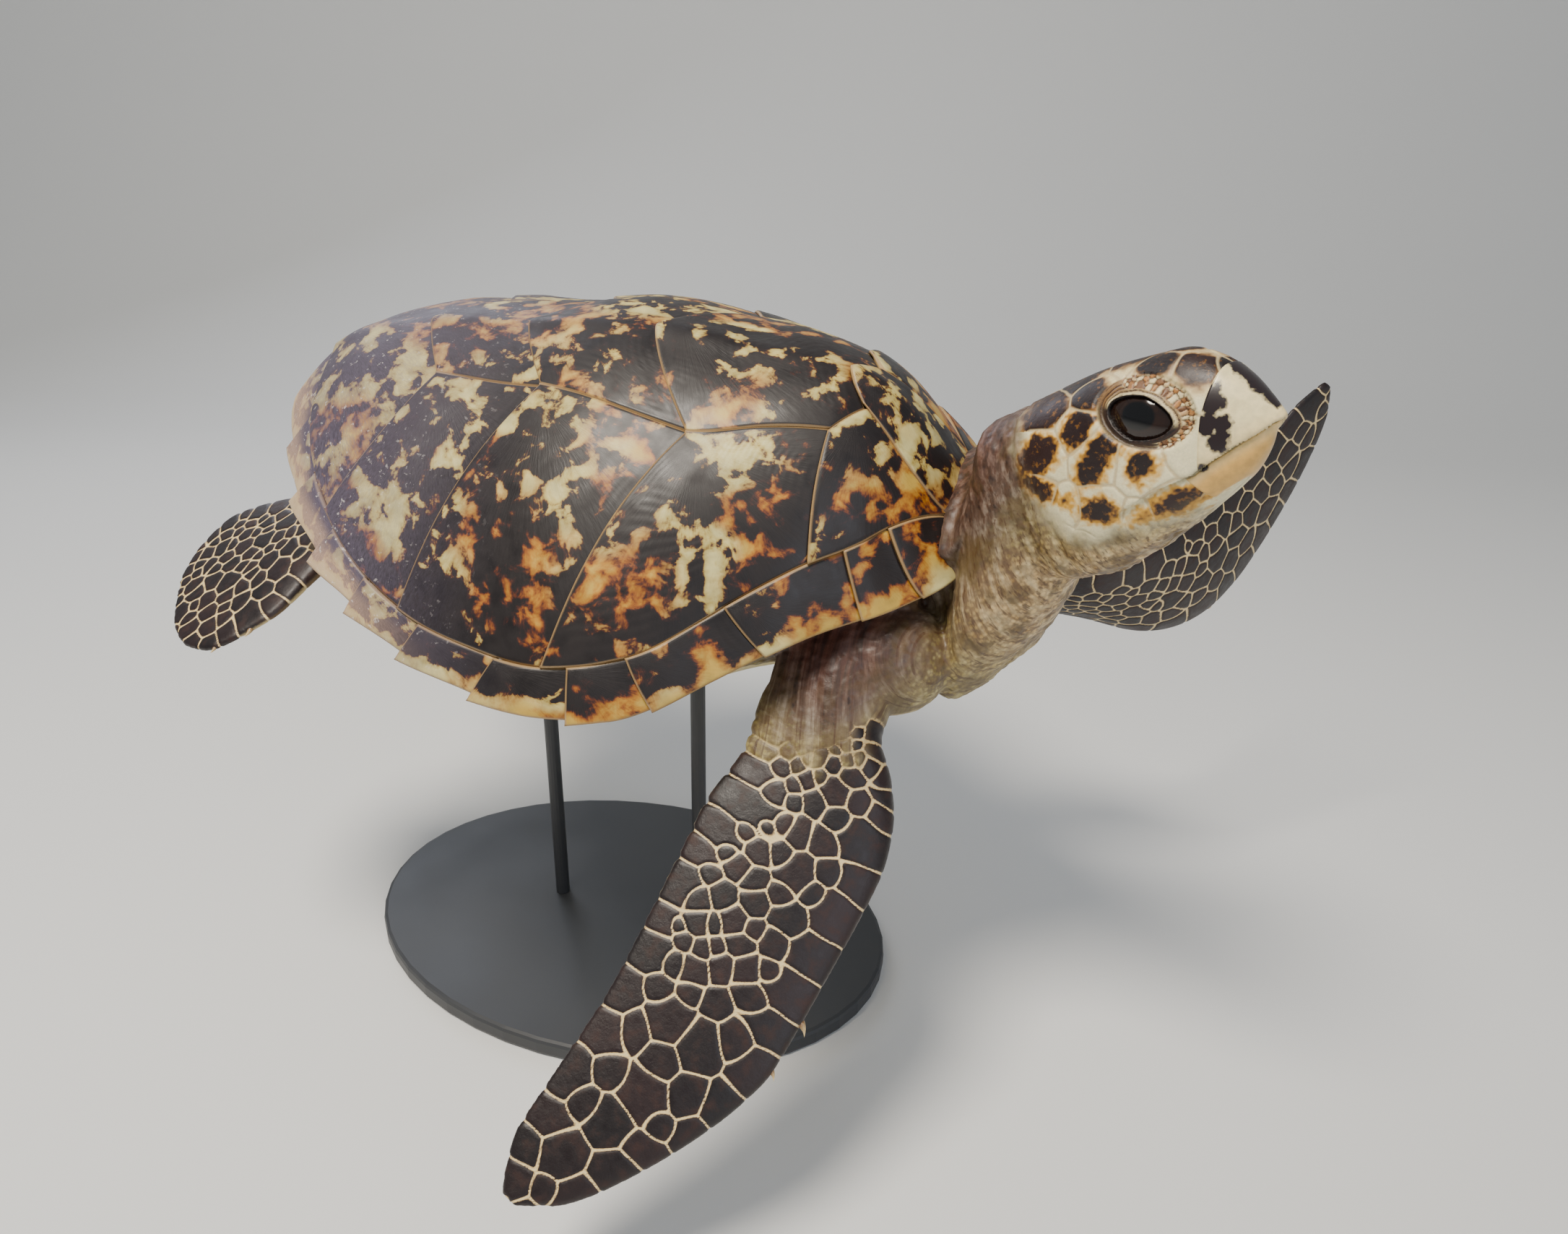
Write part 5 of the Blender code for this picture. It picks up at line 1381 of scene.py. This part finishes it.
def make_sheath(name, covered, warmth, lift):
    """A horn sheath over the part of the face that it covers: its edge dips under the skin."""
    chosen = quads[(covered[quads] > 0.02).all(1)]
    used = np.unique(chosen)
    count = len(used)
    number = np.full(total, -1)
    number[used] = np.arange(count)
    faces = [list(dict.fromkeys(face)) for face in number[chosen].tolist()]
    outer = skin[used] + facing[used] * blend(-0.0005, lift, smooth(covered[used]))[:, None]
    inner = skin[used] - facing[used] * SHEATH_BACK
    edges = {(a, b): True for face in faces for a, b in zip(face, face[1:] + face[:1])}
    every = faces + [[i + count for i in face[::-1]] for face in faces]
    every += [[b, a, a + count, b + count] for a, b in edges if (b, a) not in edges]
    mesh = piece(name, np.vstack([outer, inner]), every, beak_horn, "skin")
    spots = head_place[used]
    right_half = np.abs(spots * (0, 1, 0)) + spots * (1, 0, 1)
    cloud = np.full(count, -1.0)
    for spot, size in BEAK_CLOUDS:
        cloud = np.maximum(cloud, 0.3 - 0.3 * np.linalg.norm(right_half - spot, axis=1) / size)
    store(mesh, 2, cloud=cloud, warm=warmth[used], chart=spots * HEAD)


upper_warm = smooth((0.07 - np.abs(under)) / 0.1) * 0.35
make_sheath("beak_upper", on_beak * (mouth > 0.0005), upper_warm, 0.0006)
lower_warm = 0.55 + 0.45 * smooth((under - 0.01) / 0.04)
make_sheath("beak_lower", low_beak * (mouth > 0.0007), lower_warm, 0.0004)

hide_obj = bpy.data.objects.new("skin", skin_mesh)
skin_mesh.transform(pose)
skin_mesh.materials.clear()
skin_mesh.materials.append(hide)
skin_mesh.shade_smooth()
bpy.context.scene.collection.objects.link(hide_obj)
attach(hide_obj, "root")
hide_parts("trunk", "neck", "head", "tail", "flipper_front_right",
            "flipper_front_left", "flipper_hind_right", "flipper_hind_left")

# ------------------------------------------------------------ eyes
# Glass eyes: a dark brown iris round a black pupil under a clear, wet dome.
def make_glass_eye():
    glass = new_material("glass_eye", Roughness=0.10, Coat_Weight=0.5, Coat_Roughness=0.03,
                         IOR=1.38)
    rim = node(glass, "Attribute", out="Fac", attribute_name="rim")
    spin = node(glass, "Attribute", out="Vector", attribute_name="spin")
    fibres = node(glass, "TexNoise", (spin, 1.0, 4.0))
    iris = node(glass, "Mix", (fibres, "#0d0808", "#2c1b12"))
    in_iris = node(glass, "ValToRGB", (rim,), stops=((0.36, "#000000"), (0.42, "#ffffff")))
    eye = node(glass, "Mix", (in_iris, "#050506", iris))
    set_shader(glass, Base_Color=layer(glass, eye, "#241a17", rim, 0.72, 0.80))
    return glass


glass_eye = make_glass_eye()
RINGS, POINTS = 40, 72             # of the eyeball's mesh
CORNEA, CORNEA_SPREAD = 0.02, 0.42                 # its bulge, and its spread in radians
for side, label in ((-1, "right"), (1, "left")):
    middle, slit, lift, look = eye_axes(side)
    centre = middle - look * EYE_HALF[2]
    ball = [centre + look * EYE_HALF[2] * (1 + CORNEA)]
    polar, spin = [0.0], [(0, 0, 0)]
    for a in pi * np.arange(1, RINGS) / RINGS:
        bulge = 1 + CORNEA * np.exp(-(a / CORNEA_SPREAD) ** 2)
        for b in 2 * pi * np.arange(POINTS) / POINTS:
            ball.append(centre + bulge * (look * cos(a) * EYE_HALF[2] + sin(a) * (
                slit * cos(b) * EYE_HALF[0] + lift * sin(b) * EYE_HALF[1])))
            polar.append(sin(min(a, pi / 2)))
            spin.append((cos(b) * 3, sin(b) * 3, sin(a) * 1.5))
    ball.append(centre - look * EYE_HALF[2])
    polar.append(1.0)
    spin.append((0, 0, 0))
    first = 1 + np.arange(POINTS)
    last = first + (RINGS - 2) * POINTS
    front = np.stack([np.zeros(POINTS, int), np.roll(first, -1), first], 1)
    rear = np.stack([last, np.roll(last, -1), np.full(POINTS, len(ball) - 1)], 1)
    faces = [face for part in (front, tube_faces(RINGS - 1, POINTS, 1), rear)
             for face in part[:, ::side].tolist()]
    mesh = piece(f"eyeball_{label}", ball, faces, glass_eye, "eye", f"eye_{label}")
    store(mesh, rim=polar, spin=spin)

# ------------------------------------------------------------ claws
# Two small horn claws on the front edge of each flipper, the first the larger: a hooked cone of
# amber brown keratin that fades to a pale tip.
CLAWS = {"front": ((0.315, 0.0090), (0.376, 0.0065)), "hind": ((0.165, 0.0070), (0.215, 0.0050))}
CLAW_SET = 0.004                   # how far inside the flipper's edge a claw begins
CLAW_HOOK, CLAW_RADIUS = 0.55, 0.31                # shares of its length
CLAW_TIP = 0.00012                 # radius of the point
CLAW_RINGS, CLAW_POINTS = 14, 20


def make_claw_horn():
    horn = new_material("claw_keratin", Roughness=0.38, Coat_Weight=0.2, IOR=1.54)
    along = node(horn, "Attribute", out="Fac", attribute_name="along")
    chart = node(horn, "Attribute", out="Vector", attribute_name="chart")
    grain = node(horn, "TexNoise", (chart, 1400.0, 3.0))
    ragged = node(horn, "Math", (grain, 0.5, along), operation="MULTIPLY_ADD")
    shades = layer(horn, "#5a3415", "#d9bd84", ragged, 0.35, 1.1)
    bump = node(horn, "Bump", {"Strength": 0.2, "Distance": 0.0002, "Height": grain})
    set_shader(horn, Base_Color=shades, Normal=bump)
    return horn


claw_horn = make_claw_horn()
for name, (_, _, _, side, outline, _, mirror) in FLIPPERS.items():
    us, places, ways, chords, normals = limb_frames(name)
    for count, (u, length) in enumerate(CLAWS[name.split("_")[0]], 1):
        k = int(np.argmin(np.abs(us - u)))
        root = (places[k] + chords[k] * (float(curve(outline[0], u)) - CLAW_SET)) * SHELL
        verts, along = [], []
        for f in np.arange(CLAW_RINGS) / (CLAW_RINGS - 1):
            middle = root + length * (chords[k] * (f - 0.25 * f * f) + ways[k] * CLAW_HOOK * f * f)
            radius = length * CLAW_RADIUS * (1 - f) ** 0.8 + CLAW_TIP
            for b in 2 * pi * np.arange(CLAW_POINTS) / CLAW_POINTS:
                verts.append(middle + radius * (ways[k] * cos(b) + 0.8 * normals[k] * sin(b)))
                along.append(f)
        order = side * mirror
        ends = np.arange(CLAW_POINTS), np.arange(CLAW_POINTS) + (CLAW_RINGS - 1) * CLAW_POINTS
        faces = tube_faces(CLAW_RINGS, CLAW_POINTS)[:, ::order].tolist()
        faces += [ends[0][::-order].tolist(), ends[1][::order].tolist()]
        mesh = piece(f"claw_{name}_{count}", verts, faces, claw_horn, "skin")
        store(mesh, along=along, chart=verts)

# ------------------------------------------------------------ stand
# The base is a thick steel disc with a rounded rim, the rods are round bar; all three are
# powder coated: an even charcoal film with a faint orange peel and a satin sheen.
def make_powder_coat():
    coat = new_material("satin_powder_coat", Coat_Weight=0.08, Coat_Roughness=0.4)
    place = node(coat, "TexCoord", out="Object")
    peel = node(coat, "TexNoise", (place, 900.0, 2.0))
    wear = node(coat, "TexNoise", (place, 14.0, 4.0))
    shades = node(coat, "Mix", (wear, "#2a2c2f", "#383a3e"))
    rough = node(coat, "MapRange", (wear, 0.3, 0.7, 0.42, 0.55))
    bump = node(coat, "Bump", {"Strength": 0.15, "Distance": 0.0003, "Height": peel})
    set_shader(coat, Base_Color=shades, Roughness=rough, Normal=bump)
    return coat


powder_coat = make_powder_coat()
for name in ("stand_base", "stand_rod_front", "stand_rod_rear"):
    for slot in bpy.data.objects[name].material_slots:
        slot.material = powder_coat

# ------------------------------------------------------------ floor and light
# The showroom: a plain pale floor that runs back into a pale wall, and soft studio light.
FLOOR_SIDE, FLOOR_FRONT, FLOOR_BACK = 8.0, -6.0, 1.6
SWEEP, WALL_TOP = 1.2, 5.0         # radius of the floor's upward sweep, and height of the wall


def make_studio():
    plaster = new_material("pale_plaster", Roughness=0.85)
    grain = node(plaster, "TexNoise", {"Scale": 6.0, "Detail": 4.0})
    set_shader(plaster, Base_Color=node(plaster, "Mix", (grain, "#dfe0df", "#e6e6e4")))
    sweep = [(FLOOR_FRONT, 0.0), (FLOOR_BACK, 0.0)]
    sweep += [(FLOOR_BACK + SWEEP * sin(radians(k)), SWEEP - SWEEP * cos(radians(k)))
              for k in range(10, 91, 8)]
    sweep += [(FLOOR_BACK + SWEEP, WALL_TOP)]
    verts = [(x, y, z) for y, z in sweep for x in (-FLOOR_SIDE, FLOOR_SIDE)]
    faces = [(2 * k, 2 * k + 1, 2 * k + 3, 2 * k + 2) for k in range(len(sweep) - 1)]
    mesh = bpy.data.meshes.new("studio_floor")
    mesh.from_pydata(verts, [], faces)
    mesh.materials.append(plaster)
    mesh.shade_smooth()
    floor = bpy.data.objects.new("studio_floor", mesh)
    bpy.context.scene.collection.objects.link(floor)
    floor.rotation_euler = (0, 0, VIEW_TURN)


make_studio()


def soft_light(name, place, size, power, colour):
    light = bpy.data.lights.new(name, "AREA")
    light.shape = "DISK"
    light.size = size
    light.energy = power
    light.color = linear(colour)[:3]
    obj = bpy.data.objects.new(name, light)
    bpy.context.scene.collection.objects.link(obj)
    obj.location = place
    aim = Vector((0.0, 0.0, 0.35)) - obj.location
    obj.rotation_euler = aim.to_track_quat("-Z", "Y").to_euler()


# each light: its place, its width, its power in watts and its colour
soft_light("key_light", (-0.3, -0.9, 2.1), 0.7, 58, "#fff6e8")
soft_light("fill_light", (1.9, -1.6, 1.1), 1.6, 16, "#eef3ff")
soft_light("rim_light", (-1.6, 1.2, 1.5), 1.2, 12, "#eaf0ff")
world = bpy.data.worlds.new("studio_air")
world.use_nodes = True
world.node_tree.nodes["Background"].inputs["Color"].default_value = linear("#e8edf2")
world.node_tree.nodes["Background"].inputs["Strength"].default_value = 0.40
bpy.context.scene.world = world
